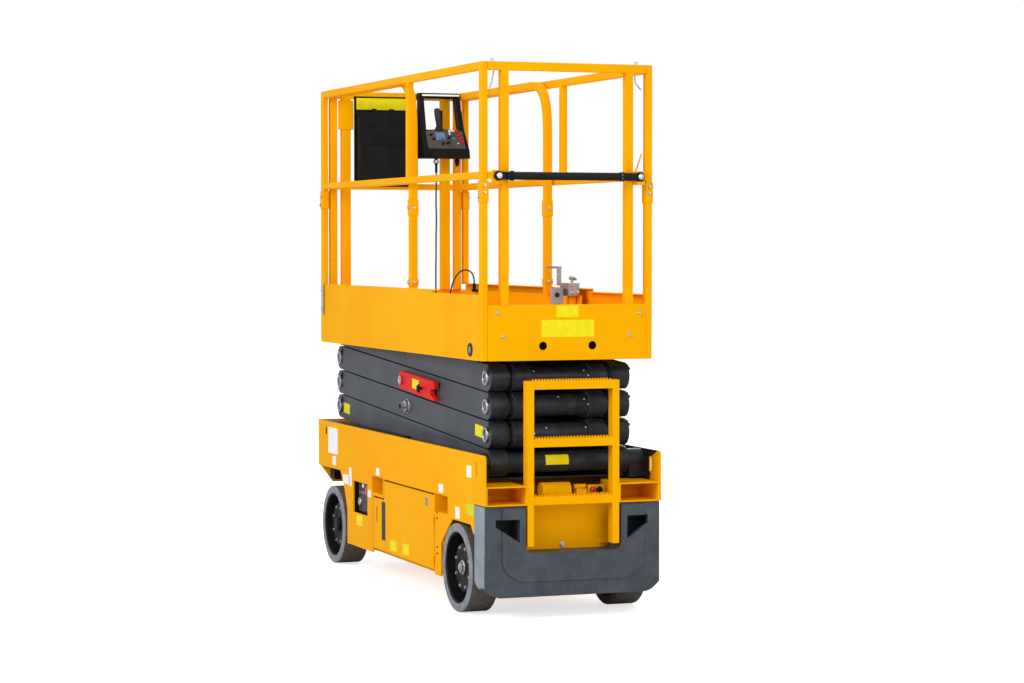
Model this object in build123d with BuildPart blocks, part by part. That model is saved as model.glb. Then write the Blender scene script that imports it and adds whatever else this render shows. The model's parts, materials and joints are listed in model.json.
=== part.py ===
from build123d import *
from math import asin, cos, degrees, radians, sin, sqrt, tan
import os

# A narrow electric scissor lift, in millimetres. +X is the travel direction, away from the ladder,
# +Y is the left side, +Z is up, and the origin is on the ground under the middle of the machine.

# Chassis body
body_length = 2450.0
body_width = 800.0
side_plate = 8.0
side_top = 693.0
nose_bottom = 463.0
panel_bottom = 121.0
door_gap = 8.0
sheet = 6.0
moving_gap = 6.0
running_gap = 0.5

# Wheels
wheel_radius = 190.0
wheel_width = 127.0
track_width = 810.0
rear_axle_x = -887.0
front_axle_x = 952.0
tyre_depth = 36.0
rim_wall = 6.0
web_inner = 308.0
web_thickness = 12.0
hub_radius = 62.0
hub_depth = 16.0
spindle_radius = 20.0

# Steering
kingpin_y = 250.0
kingpin_radius = 18.0
sleeve_radius = 30.0
yoke_drop = 82.0
yoke_rim_gap = 17.0
yoke_flange = 16.0
yoke_gap = 4.0
front_beam_z = (-40.0, 70.0)
steer_arm_length = 100.0
steer_arm_z = (332.0, 350.0)
tie_rod_radius = 8.0
tie_rod_eye = 11.0

# Scissor stack
arm_length = 2137.0
rest_pitch = 120.5
arm_depth = 114.0
arm_width = 80.0
inner_arm_width = 74.0
outer_arm_face = 316.0
arm_gap = 28.0
lower_pin_z = 645.0
rear_pin_x = -1020.0
arm_levels = 4
shaft_radius = 25.0
cross_tube_radius = 45.0
pin_cap_radius = 31.0
pin_cap_depth = 6.0
roller_radius = 37.5
roller_low_y = 325.0
roller_high_y = 375.0
track_travel_x = 0.0
track_front_x = 1195.0
flange = 6.5

# Lift cylinder
barrel_eye_s = 110.0
rod_eye_s = 1750.0
barrel_radius = 50.0
rod_radius = 28.0
eye_radius = 32.0
eye_half_width = 30.0
barrel_length = 1470.0
barrel_start = 120.0
neck_radius = 27.0
lug_thickness = 14.0

# Platform
platform_rear = -1154.0
platform_front = 1219.0
platform_width = 773.0
skirt_bottom = 1083.0
skirt_top = 1372.0
skirt_top_rear = 1358.0
skirt_step_x = -498.0
skirt_sheet = 4.0
floor_top = 1200.0
floor_plate = 8.0
rear_panel_top = 1317.0
rail_top = 2333.0
rail_height = 35.0
mid_rail_top = 1875.0
mid_rail_height = 30.0
post_x = 40.0
post_y = 27.5

# Deck extension
extension_post_y = 35.0
extension_post_x = -90.0
extension_rear = -460.0
extension_floor = 1206.0
extension_wall_top = 1340.0

# Worked out from the values above
inner_arm_face = outer_arm_face - arm_width - arm_gap
half_length = body_length / 2
half_width = body_width / 2
inside_y = half_width - side_plate
rest_angle = degrees(asin(rest_pitch / arm_length))
front_pin_x = rear_pin_x + arm_length * cos(radians(rest_angle))
middle_x = (rear_pin_x + front_pin_x) / 2
platform_y = platform_width / 2
wheel_out = track_width / 2
wheel_in = wheel_out - wheel_width
rim_radius = wheel_radius - tyre_depth
yoke_low = wheel_radius - yoke_drop
yoke_high = wheel_radius + rim_radius - rim_wall - yoke_rim_gap
sleeve_low = yoke_low + yoke_flange + yoke_gap
sleeve_high = yoke_high - yoke_flange - yoke_gap
bore_radius = shaft_radius + running_gap
tie_rod_z = steer_arm_z[1] + running_gap + tie_rod_eye
pin_row = [lower_pin_z + rest_pitch * level for level in range(arm_levels + 1)]
sides = (("left", 1), ("right", -1))

os.makedirs("parts", exist_ok=True)


def block(x, y, z, mode=Mode.ADD):
    """A box between the low and high values of x, y and z."""
    middle = ((x[0] + x[1]) / 2, (y[0] + y[1]) / 2, (z[0] + z[1]) / 2)
    with Locations(middle):
        Box(abs(x[1] - x[0]), abs(y[1] - y[0]), abs(z[1] - z[0]), mode=mode)


def across(x, z, y, radius, mode=Mode.ADD):
    """A round bar along Y between two y values."""
    with Locations(Location((x, (y[0] + y[1]) / 2, z), (90, 0, 0))):
        Cylinder(radius, abs(y[1] - y[0]), mode=mode)


def along(y, z, x, radius, mode=Mode.ADD):
    """A round bar along X between two x values."""
    with Locations(Location(((x[0] + x[1]) / 2, y, z), (0, 90, 0))):
        Cylinder(radius, abs(x[1] - x[0]), mode=mode)


def upright(x, y, z, radius, mode=Mode.ADD):
    """A round bar along Z between two z values."""
    with Locations((x, y, (z[0] + z[1]) / 2)):
        Cylinder(radius, abs(z[1] - z[0]), mode=mode)


def side_outline(y_outer, points, thickness, mode=Mode.ADD):
    """A flat plate in a plane of constant y, from y_outer towards -Y, outlined by x and z points."""
    with BuildSketch(Plane.XZ.offset(-y_outer)) as outline:
        with BuildLine():
            Polyline(*points, close=True)
        make_face()
    extrude(outline.sketch, amount=thickness, mode=mode)


def end_outline(x_low, points, thickness, mode=Mode.ADD):
    """A flat plate in a plane of constant x, from x_low towards +X, outlined by y and z points."""
    with BuildSketch(Plane.YZ.offset(x_low)) as outline:
        with BuildLine():
            Polyline(*points, close=True)
        make_face()
    extrude(outline.sketch, amount=thickness, mode=mode)


def save(part, name):
    part.label = name
    export_step(part, f"parts/{name}.step")


def both(sign, low, high):
    """The y range of a piece on one side of the machine."""
    return (low, high) if sign > 0 else (-high, -low)


# Chassis side plates, with the wheel arch, the nose, the door opening and the fork pockets
door_rear = -573.5
door_front = 310.5
door_top = 472.0
door_bottom = 145.0
strip_rear = -667.0
strip_front = door_rear - door_gap
strip_bottom = 125.0
pocket_x = ((-753.5, -580.5), (167.5, 335.5))
pocket_z = (405.0, 481.0)
arch_top = 391.0
bumper_top = 478.0
bumper_front = -1099.0
tie_hole_radius = 20.0
plate_outline = [
    (-half_length, side_top),
    (half_length, side_top),
    (half_length, nose_bottom),
    (849, nose_bottom + 3),
    (779, 382),
    (731, 285),
    (731, panel_bottom),
    (door_front + door_gap, panel_bottom),
    (door_front + door_gap, pocket_z[0] - sheet - door_gap),
    (pocket_x[1][0] - sheet - door_gap, pocket_z[0] - sheet - door_gap),
    (pocket_x[1][0] - sheet - door_gap, door_top + door_gap),
    (strip_front, door_top + door_gap),
    (strip_front, strip_bottom),
    (strip_rear, strip_bottom),
    (strip_rear, 273),
    (-816.5, arch_top),
    (-1049.5, arch_top),
    (-1087.5, 354),
    (bumper_front + 3, 354),
    (bumper_front + 3, bumper_top + 4),
    (-half_length, bumper_top + 4),
]
recess_x = (403.5, 634.5)
recess_z = (283.0, 434.0)
hinge_x = door_rear - 4
hinge_y = half_width + 4
hinge_radius = 4.0
hinge_z = ((170.0, 205.0), (340.0, 375.0))
tie_holes = ((-1125.0, 630.0, 34.0), (1088.0, 644.0, 22.0))


def make_side_plate(name, sign):
    face = half_width if sign > 0 else -inside_y
    with BuildPart() as plate:
        side_outline(face, plate_outline, side_plate)
        rear_top = plate.edges().filter_by(Axis.Y)
        rear_top = rear_top.filter_by_position(Axis.X, -half_length - 1, -half_length + 1)
        fillet(rear_top.sort_by(Axis.Z)[-1], 18)
        for low, high in pocket_x:
            block((low - sheet, high + sheet), (face - side_plate, face),
                  (pocket_z[0] - sheet, pocket_z[1] + sheet),
                  mode=Mode.SUBTRACT)
        for x, z, reach in tie_holes:
            with BuildSketch(Plane.XZ.offset(-face)):
                with Locations((x, z)):
                    SlotOverall(reach * 2, tie_hole_radius, rotation=90)
            extrude(amount=side_plate, mode=Mode.SUBTRACT)
        if sign > 0:
            block(recess_x, (face - side_plate, face), recess_z, mode=Mode.SUBTRACT)
        for low, high in hinge_z:
            leaf = (high + running_gap, high + running_gap + 30)
            upright(hinge_x, sign * hinge_y, leaf, hinge_radius)
            block((strip_front - 12, hinge_x), both(sign, half_width, hinge_y), leaf)
    save(plate.part, name)


for side, sign in sides:
    make_side_plate(f"side_plate_{side}", sign)

# Fork pockets: two box tubes right through the body
with BuildPart() as pockets:
    for low, high in pocket_x:
        block((low - sheet, high + sheet), (-half_width, half_width),
              (pocket_z[0] - sheet, pocket_z[1] + sheet))
        block((low, high), (-half_width, half_width), pocket_z, mode=Mode.SUBTRACT)
save(pockets.part, "fork_pockets")

# Chassis frame: floor, middle webs, the beams between the fork pockets and the two bulkheads
bulkhead_rear = -682.0
bulkhead_front = 690.0
web_y = 150.0
tray_top = 133.0
tray_bottom = 125.0
deck_under_arms = 572.0
wheel_deck_rear = 398.0
pivot_boss_radius = 46.0
trough_y = 320.0
roller_flange_y = outer_arm_face + moving_gap
door_depth = 20.0


def cut_pockets():
    """Removes the room of the two fork pockets from a piece that they pass through."""
    for low, high in pocket_x:
        block((low - sheet, high + sheet), (-inside_y, inside_y), (pocket_z[0] - sheet, pocket_z[1] + sheet),
              mode=Mode.SUBTRACT)


with BuildPart() as frame:
    floor_y = inside_y - door_depth
    block((bulkhead_rear, bulkhead_front), (-floor_y, floor_y), (tray_bottom, tray_top))
    for sign in (1, -1):
        block((bulkhead_rear, bulkhead_front), both(sign, web_y - side_plate, web_y),
              (tray_top, pocket_z[0] - sheet))
    for x in (bulkhead_rear, bulkhead_front - side_plate):
        block((x, x + side_plate), (-inside_y, inside_y), (tray_bottom, deck_under_arms))
    rear_pocket, front_pocket = pocket_x
    for low, high in ((rear_pocket[1] + sheet, front_pocket[0] - sheet),
                      (front_pocket[1] + sheet, bulkhead_front - side_plate)):
        block((low, high), (-trough_y, trough_y), (pocket_z[0] - sheet, pocket_z[0]))
    cut_pockets()
save(frame.part, "chassis_frame")

# Deck under the arms, with the bosses that carry the lowest rear pins
with BuildPart() as upper_deck:
    block((-1010, half_length - side_plate), (-inside_y, inside_y),
          (deck_under_arms, deck_under_arms + side_plate))
    for sign in (1, -1):
        boss_y = both(sign, roller_flange_y, inside_y)
        across(rear_pin_x, lower_pin_z, boss_y, pivot_boss_radius)
        block((rear_pin_x - 40, rear_pin_x + 40), boss_y, (deck_under_arms, lower_pin_z))
        across(rear_pin_x, lower_pin_z, boss_y, bore_radius, mode=Mode.SUBTRACT)
save(upper_deck.part, "upper_deck")

# Tracks for the lowest front rollers: two flanges on the inside of each side plate
with BuildPart() as tracks:
    for sign in (1, -1):
        for low in (lower_pin_z - roller_radius - 1 - flange, lower_pin_z + roller_radius + 1):
            block((track_travel_x, track_front_x), both(sign, roller_flange_y, inside_y), (low, low + flange))
save(tracks.part, "roller_tracks")

# Decks over the wheels
with BuildPart() as wheel_decks:
    block((bumper_front + side_plate, bulkhead_rear), (-inside_y, inside_y),
          (wheel_deck_rear, wheel_deck_rear + side_plate))
    block((bulkhead_front, half_length - side_plate), (-inside_y, inside_y),
          (nose_bottom, nose_bottom + side_plate))
    cut_pockets()
save(wheel_decks.part, "wheel_decks")

# Front end plate, its lower corners cut back
with BuildPart() as nose:
    end_outline(
        half_length - side_plate,
        [(-inside_y, side_top), (inside_y, side_top), (inside_y, nose_bottom), (327, 376), (-327, 376),
         (-inside_y, nose_bottom)],
        side_plate,
    )
save(nose.part, "front_end_plate")

# Rear end plate inside the bumper, with a shelf for the pump motor
shelf_z = (468.0, 474.0)
bumper_bottom = 95.0
with BuildPart() as rear_plate:
    block((bumper_front, bumper_front + side_plate), (-374, 374), (bumper_bottom + 22, bumper_top - 2))
    block((bumper_front, -1000), (-200, 200), shelf_z)
    for sign in (1, -1):
        block((bumper_front, -1000), both(sign, 190, 200), (wheel_deck_rear + side_plate, shelf_z[0]))
save(rear_plate.part, "rear_end_plate")

# Step boxes at the rear corners
box_z = (480.0, 562.0)
ladder_y = 208.0
box_front = -1010.0
with BuildPart() as steps:
    for sign in (1, -1):
        block((-half_length, box_front), both(sign, ladder_y, inside_y), box_z)
        block((-half_length, box_front - sheet), both(sign, ladder_y + sheet, inside_y - sheet),
              (box_z[0] + sheet, box_z[1] - sheet), mode=Mode.SUBTRACT)
save(steps.part, "rear_step_boxes")

# Ladder at the rear
stile_width = 30.0
stile_depth = 50.0
ladder_rear = -1222.0
ladder_top = 1000.0
ladder_bottom = 307.0
rung_height = 36.0
rung_tops = (1000.0, 758.0, 515.0)
ladder_front = ladder_rear + stile_depth
with BuildPart() as ladder:
    for sign in (1, -1):
        block((ladder_rear, ladder_front), both(sign, ladder_y - stile_width, ladder_y),
              (ladder_bottom, ladder_top))
    rung_y = ladder_y - stile_width
    for top in rung_tops:
        block((ladder_rear + 3, ladder_front - 3), (-rung_y, rung_y), (top - rung_height, top))
        block((ladder_rear + 6, ladder_front), (-rung_y, rung_y), (top - rung_height, top - 3),
              mode=Mode.SUBTRACT)
save(ladder.part, "rear_ladder")

# Bumper: a moulded shell with a U for the ladder and two slanted windows
bumper_wall = 22.0
bumper_raise = 9.0
u_half = ladder_y + 8
u_floor = 280.0
window_inner = 243.0
window_outer = 348.0
window_top = 423.0
window_low = 325.0
with BuildPart() as bumper:
    with BuildSketch(Plane.YZ.offset(-half_length + bumper_raise)):
        with BuildLine():
            Polyline((-half_width, bumper_top), (-half_width, bumper_bottom + 45),
                     (-half_width + 50, bumper_bottom),
                     (half_width - 50, bumper_bottom), (half_width, bumper_bottom + 45),
                     (half_width, bumper_top),
                     (u_half, bumper_top), (u_half, u_floor), (-u_half, u_floor), (-u_half, bumper_top),
                     close=True)
        make_face()
    extrude(amount=bumper_front + half_length - bumper_raise)
    with BuildSketch(Plane.YZ.offset(-half_length)):
        with BuildLine():
            Polyline((-320, bumper_top - 8), (-320, 220), (-250, 160), (250, 160), (320, 220),
                     (320, bumper_top - 8),
                     (u_half, bumper_top - 8), (u_half, u_floor), (-u_half, u_floor),
                     (-u_half, bumper_top - 8),
                     close=True)
        make_face()
    extrude(amount=bumper_raise)
    inner_rear = -half_length + bumper_raise + bumper_wall
    block((inner_rear, bumper_front), (-half_width + bumper_wall, half_width - bumper_wall),
          (bumper_bottom + bumper_wall, u_floor - bumper_wall), mode=Mode.SUBTRACT)
    for sign in (1, -1):
        block((inner_rear, bumper_front), both(sign, u_half + bumper_wall, half_width - bumper_wall),
              (bumper_bottom + bumper_wall, bumper_top - bumper_wall), mode=Mode.SUBTRACT)
        end_outline(
            -half_length,
            [(sign * window_inner, window_low), (sign * window_inner, window_top),
             (sign * window_outer, window_top),
             (sign * window_outer, window_top - 30)],
            bumper_wall + bumper_raise + 2,
            mode=Mode.SUBTRACT,
        )
    corner = bumper.edges().filter_by(Axis.Z).filter_by_position(Axis.X, -half_length + bumper_raise - 1,
                                                                -half_length + bumper_raise + 1)
    fillet([corner.sort_by(Axis.Y)[0], corner.sort_by(Axis.Y)[-1]], 12)
save(bumper.part, "rear_bumper")

# Front axle: beam, pedestal and the two kingpin sleeves
with BuildPart() as front_axle:
    beam_z = (wheel_radius + front_beam_z[0], wheel_radius + front_beam_z[1])
    block((front_axle_x - 35, front_axle_x + 35), (-205, 205), beam_z)
    block((front_axle_x - 72, front_axle_x + 72), (-75, 75), (190, nose_bottom))
    block((front_axle_x - 73, front_axle_x - 24), (-76, 76), (tie_rod_z - 20, tie_rod_z + 20),
          mode=Mode.SUBTRACT)
    for sign in (1, -1):
        block((front_axle_x - 22, front_axle_x + 22), both(sign, 205, kingpin_y), beam_z)
        upright(front_axle_x, sign * kingpin_y, (sleeve_low, sleeve_high), sleeve_radius)
        upright(front_axle_x, sign * kingpin_y, (sleeve_low, sleeve_high), kingpin_radius + running_gap,
                mode=Mode.SUBTRACT)
save(front_axle.part, "front_axle")

# Rear axle: beam with the two drive motors, whose shafts carry the wheels
motor_radius = 72.0
with BuildPart() as rear_axle:
    block((rear_axle_x - 55, rear_axle_x + 55), (-180, 180), (120, wheel_deck_rear))
    for sign in (1, -1):
        across(rear_axle_x, wheel_radius, both(sign, 170, web_inner - moving_gap), motor_radius)
        across(rear_axle_x, wheel_radius, both(sign, 170, web_inner + web_thickness + hub_depth),
               spindle_radius)
save(rear_axle.part, "rear_axle")


def make_knuckle(name, sign):
    """A steering yoke: kingpin, two flanges, an upright plate, the spindle and the steering arm."""
    plate_low = kingpin_y + sleeve_radius + 8
    with BuildPart() as knuckle:
        upright(front_axle_x, sign * kingpin_y, (yoke_low, steer_arm_z[1]), kingpin_radius)
        for z in ((yoke_low, yoke_low + yoke_flange), (yoke_high - yoke_flange, yoke_high)):
            upright(front_axle_x, sign * kingpin_y, z, 22)
            block((front_axle_x - 22, front_axle_x + 22), both(sign, kingpin_y, plate_low + 12), z)
        block((front_axle_x - 28, front_axle_x + 28), both(sign, plate_low, plate_low + 12),
              (yoke_low, yoke_high))
        across(front_axle_x, wheel_radius, both(sign, plate_low, web_inner + web_thickness + hub_depth),
               spindle_radius)
        block((front_axle_x - steer_arm_length, front_axle_x), both(sign, kingpin_y - 18, kingpin_y + 18),
              steer_arm_z)
        upright(front_axle_x, sign * kingpin_y, steer_arm_z, 22)
        upright(front_axle_x - steer_arm_length, sign * kingpin_y, steer_arm_z, 18)
    save(knuckle.part, name)


for side, sign in sides:
    make_knuckle(f"knuckle_{side}", sign)

# Tie rod over the two steering arms, a small gap above their ends
with BuildPart() as tie_rod:
    across(front_axle_x - steer_arm_length, tie_rod_z, (-kingpin_y, kingpin_y), tie_rod_radius)
    for sign in (1, -1):
        upright(front_axle_x - steer_arm_length, sign * kingpin_y,
                (tie_rod_z - tie_rod_eye, tie_rod_z + tie_rod_eye), 16)
save(tie_rod.part, "tie_rod")


def make_wheel(position, axle_x, side, sign):
    """A wheel's tyre and its deep steel rim with a bolted hub, as two pieces."""
    with BuildPart() as tyre:
        across(axle_x, wheel_radius, both(sign, wheel_in, wheel_out), wheel_radius)
        shoulder = tyre.edges().filter_by(GeomType.CIRCLE)
        fillet(shoulder, 7)
        across(axle_x, wheel_radius, both(sign, wheel_in, wheel_out), rim_radius, mode=Mode.SUBTRACT)
    save(tyre.part, f"tyre_{position}_{side}")
    with BuildPart() as rim:
        across(axle_x, wheel_radius, both(sign, wheel_in + 6, wheel_out - 6), rim_radius)
        across(axle_x, wheel_radius, both(sign, wheel_in + 6, web_inner), rim_radius - rim_wall,
               mode=Mode.SUBTRACT)
        across(axle_x, wheel_radius, both(sign, web_inner + web_thickness, wheel_out - 6),
               rim_radius - rim_wall,
               mode=Mode.SUBTRACT)
        across(axle_x, wheel_radius,
               both(sign, web_inner + web_thickness, web_inner + web_thickness + hub_depth),
               hub_radius)
        across(axle_x, wheel_radius, both(sign, web_inner, web_inner + web_thickness + hub_depth + 1),
               spindle_radius + running_gap, mode=Mode.SUBTRACT)
    save(rim.part, f"rim_{position}_{side}")


for position, axle_x in (("front", front_axle_x), ("rear", rear_axle_x)):
    for side, sign in sides:
        make_wheel(position, axle_x, side, sign)

# Swing doors in the lower body sides, hinged at their rear edge
door_outline = [
    (door_rear, door_bottom),
    (door_front, door_bottom),
    (door_front, pocket_z[0] - sheet - 2 * door_gap),
    (pocket_x[1][0] - sheet - 2 * door_gap, pocket_z[0] - sheet - 2 * door_gap),
    (pocket_x[1][0] - sheet - 2 * door_gap, door_top),
    (door_rear, door_top),
]
vent_x = (138.0, 168.0)
vent_z = (200.0, 371.0)
latch_x = (251.0, 264.0)
latch_z = (270.0, 347.0)


def make_door(name, sign):
    face = half_width if sign > 0 else -(half_width - door_depth)
    outer = face if sign > 0 else -half_width
    with BuildPart() as door:
        side_outline(face, door_outline, door_depth)
        for low, high in hinge_z:
            upright(hinge_x, sign * hinge_y, (low, high), hinge_radius)
            block((hinge_x, door_rear + 10), both(sign, half_width, hinge_y), (low, high))
        block(vent_x, (outer - sign * 5, outer), vent_z, mode=Mode.SUBTRACT)
        block(latch_x, (outer - sign * 8, outer), latch_z, mode=Mode.SUBTRACT)
    save(door.part, name)


for side, sign in sides:
    make_door(f"door_{side}", sign)

# Ground control recess on the left side: a box behind the side plate and its controls
recess_depth = 60.0
stop_x, stop_z = 436.5, 399.0
key_x, key_z = 553.5, 336.0
with BuildPart() as recess:
    block((recess_x[0] - 4, recess_x[1] + 4), (inside_y - recess_depth, inside_y),
          (recess_z[0] - 4, recess_z[1] + 4))
    block(recess_x, (inside_y - recess_depth + 4, inside_y), recess_z, mode=Mode.SUBTRACT)
save(recess.part, "ground_control_box")
panel_y = inside_y - recess_depth + 4
with BuildPart() as controls:
    across(stop_x, stop_z, (panel_y, panel_y + 30), 12)
    across(stop_x, stop_z, (panel_y + 30, panel_y + 52), 19)
    across(key_x, key_z, (panel_y, panel_y + 38), 17)
    block((462, 478), (panel_y, panel_y + 22), (370, 392))
    block((500, 516), (panel_y, panel_y + 22), (370, 392))
save(controls.part, "ground_controls")

# Heavy inner masses as plain blocks
with BuildPart() as battery:
    block((-560, 150), (web_y + 4, 370), (tray_top, 385))
save(battery.part, "battery_block")
with BuildPart() as pump:
    block((-560, 150), (-370, -web_y - 4), (tray_top, 385))
save(pump.part, "pump_block")

# Pump motor and the manual lowering handle behind the ladder
with BuildPart() as motor:
    block((-1085, -1015), (-60, 95), (shelf_z[1], shelf_z[1] + 14))
    across(-1050, shelf_z[1] + 48, (-45, 85), 36)
    block((-1085, -1040), (-115, -70), (shelf_z[1], shelf_z[1] + 55))
    across(-1062, shelf_z[1] + 64, (-118, -66), 10)
save(motor.part, "pump_motor")

# Device box under the nose
with BuildPart() as nose_box:
    block((1135, 1205), (275, 345), (395, nose_bottom))
save(nose_box.part, "nose_box")


def arm_plane(y_face, z_low, z_high):
    """A plane on an arm's outer face, centred on the arm, its x along the arm towards the front."""
    rise = z_high - z_low
    run = front_pin_x - rear_pin_x
    middle = (middle_x, y_face, (z_low + z_high) / 2)
    return Plane(origin=middle, x_dir=(run, 0, rise), z_dir=(0, -1, 0))


def make_outer_arms(level):
    """The outer pair of one level, with the shafts at both ends and the stub pins at the middle."""
    low, high = pin_row[level - 1], pin_row[level]
    middle_z = (low + high) / 2
    ring = outer_arm_face + pin_cap_depth
    with BuildPart() as arms:
        for face in (outer_arm_face, -outer_arm_face + arm_width):
            with BuildSketch(arm_plane(face, low, high)):
                SlotCenterToCenter(arm_length, arm_depth)
            extrude(amount=arm_width)
        for sign in (1, -1):
            across(middle_x, middle_z, both(sign, inner_arm_face - inner_arm_width, ring), shaft_radius)
            across(middle_x, middle_z, both(sign, outer_arm_face, ring), pin_cap_radius)
            across(middle_x, middle_z, both(sign, inner_arm_face + moving_gap, outer_arm_face),
                   cross_tube_radius)
        if level == 1:
            across(rear_pin_x, low, (-inside_y + 10, inside_y - 10), shaft_radius)
            across(rear_pin_x, low, (-outer_arm_face + 1, outer_arm_face - 1), cross_tube_radius)
        else:
            across(rear_pin_x, low, (-ring, ring), shaft_radius)
            for sign in (1, -1):
                across(rear_pin_x, low, both(sign, outer_arm_face, ring), pin_cap_radius)
        if level == arm_levels:
            across(front_pin_x, high, (-roller_high_y, roller_high_y), shaft_radius)
            across(front_pin_x, high, (-outer_arm_face + 1, outer_arm_face - 1), cross_tube_radius)
            for sign in (1, -1):
                across(front_pin_x, high, both(sign, roller_low_y, roller_high_y), roller_radius)
        else:
            across(front_pin_x, high, (-ring, ring), shaft_radius)
            for sign in (1, -1):
                across(front_pin_x, high, both(sign, outer_arm_face, ring), pin_cap_radius)
        if level == 2:
            across(middle_x, middle_z, (ring, ring + 32), 17)
    save(arms.part, f"outer_arms_{level}")


def make_inner_arms(level):
    """The inner pair of one level, joined by a hollow cross tube at each end that has a shaft in it."""
    low, high = pin_row[level - 1], pin_row[level]
    middle_z = (low + high) / 2
    inside_face = inner_arm_face - inner_arm_width
    with BuildPart() as arms:
        for face in (inner_arm_face, -inside_face):
            with BuildSketch(arm_plane(face, high, low)):
                SlotCenterToCenter(arm_length, arm_depth)
            extrude(amount=inner_arm_width)
        for x, z in ((rear_pin_x, high), (front_pin_x, low)):
            across(x, z, (-inside_face - 1, inside_face + 1), cross_tube_radius)
        across(rear_pin_x, high, (-inner_arm_face, inner_arm_face), bore_radius, mode=Mode.SUBTRACT)
        across(middle_x, middle_z, (-inner_arm_face, inner_arm_face), bore_radius, mode=Mode.SUBTRACT)
        if level == 1:
            across(front_pin_x, low, (-roller_high_y, roller_high_y), shaft_radius)
            for sign in (1, -1):
                across(front_pin_x, low, both(sign, roller_low_y, roller_high_y), roller_radius)
        else:
            across(front_pin_x, low, (-inner_arm_face, inner_arm_face), bore_radius, mode=Mode.SUBTRACT)
        if level == 1:
            with BuildSketch(arm_plane(0, high, low)):
                with BuildLine():
                    s = -arm_length / 2
                    eye = s + barrel_eye_s
                    Polyline((s, -30), (eye, -26), (eye + 26, 0), (eye, 26), (s, 30), close=True)
                make_face()
            extrude(amount=eye_half_width + 2 + lug_thickness, both=True)
            slot_start, slot_end = s + cross_tube_radius + 1, eye + eye_radius + 10
            with BuildSketch(arm_plane(0, high, low)):
                with Locations(((slot_start + slot_end) / 2, 0)):
                    Rectangle(slot_end - slot_start, 2 * eye_radius + 20)
            extrude(amount=eye_half_width + 2, both=True, mode=Mode.SUBTRACT)
            with BuildSketch(arm_plane(0, high, low)):
                with Locations((eye, 0)):
                    Circle(16)
            extrude(amount=eye_half_width + 2 + lug_thickness, both=True)
            across(rear_pin_x, high, (-inner_arm_face, inner_arm_face), bore_radius, mode=Mode.SUBTRACT)
        if level == 3:
            with BuildSketch(arm_plane(0, high, low)):
                with Locations((rod_eye_s - arm_length / 2, 49.5)):
                    Rectangle(120, 15)
            extrude(amount=inside_face + 1, both=True)
            for y in (eye_half_width + 4 + lug_thickness, -eye_half_width - 4):
                with BuildSketch(arm_plane(y, high, low)):
                    with Locations((rod_eye_s - arm_length / 2, 10)):
                        Rectangle(70, 74)
                extrude(amount=lug_thickness)
    save(arms.part, f"inner_arms_{level}")


for level in range(1, arm_levels + 1):
    make_outer_arms(level)
    make_inner_arms(level)

# Red safety prop on the left face of the third level, stowed along the arm
prop_length = 470.0
prop_face = outer_arm_face + pin_cap_depth + 2
prop_z = (pin_row[2] + pin_row[3]) / 2
with BuildPart() as prop:
    with BuildSketch(Plane(origin=(middle_x, prop_face + 22, prop_z), x_dir=(-cos(radians(rest_angle)), 0,
                                                                             -sin(radians(rest_angle))),
                           z_dir=(0, 1, 0))):
        with BuildLine():
            Polyline((-40, 26), (-26, 40), (prop_length - 10, 40), (prop_length - 10, 8),
                     (prop_length - 60, 0),
                     (prop_length - 55, -22), (prop_length, -34), (prop_length, -46), (-26, -40), (-40, -26),
                     close=True)
        make_face()
    extrude(amount=-22)
    across(middle_x, prop_z, (outer_arm_face + pin_cap_depth, prop_face + 30), 20)
save(prop.part, "safety_prop")


def stack_point(level, s, rising):
    """A point on an arm's axis, s from its rear end, at rest."""
    run = s * cos(radians(rest_angle))
    rise = s * sin(radians(rest_angle))
    z = pin_row[level - 1] + rise if rising else pin_row[level] - rise
    return rear_pin_x + run, z


# Lift cylinder, hinged on the first inner pair, its rod's eye in the lugs of the third
barrel_x, barrel_z = stack_point(1, barrel_eye_s, False)
rod_x, rod_z = stack_point(3, rod_eye_s, False)
cylinder_length = sqrt((rod_x - barrel_x) ** 2 + (rod_z - barrel_z) ** 2)
cylinder_plane = Plane(origin=(barrel_x, 0, barrel_z), x_dir=(rod_x - barrel_x, 0, rod_z - barrel_z),
                       z_dir=(0, -1, 0))
bar_plane = Plane(origin=(barrel_x, 0, barrel_z), x_dir=(0, 1, 0),
                  z_dir=(rod_x - barrel_x, 0, rod_z - barrel_z))
with BuildPart() as barrel:
    with BuildSketch(cylinder_plane):
        Circle(eye_radius)
    extrude(amount=eye_half_width, both=True)
    with BuildSketch(bar_plane.offset(eye_radius - 6)):
        Circle(neck_radius)
    extrude(amount=barrel_start - eye_radius + 8)
    with BuildSketch(bar_plane.offset(barrel_start)):
        Circle(barrel_radius)
    extrude(amount=barrel_length - barrel_start)
    with BuildSketch(bar_plane.offset(barrel_start + 20)):
        Circle(rod_radius + running_gap)
    extrude(amount=barrel_length, mode=Mode.SUBTRACT)
    with BuildSketch(cylinder_plane):
        Circle(16 + running_gap)
    extrude(amount=eye_half_width, both=True, mode=Mode.SUBTRACT)
save(barrel.part, "lift_cylinder_barrel")
with BuildPart() as rod:
    with BuildSketch(bar_plane.offset(barrel_start + 40)):
        Circle(rod_radius)
    extrude(amount=cylinder_length - barrel_start - 40)
    with BuildSketch(cylinder_plane):
        with Locations((cylinder_length, 0)):
            Circle(eye_radius)
    extrude(amount=eye_half_width, both=True)
save(rod.part, "lift_cylinder_rod")

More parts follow.
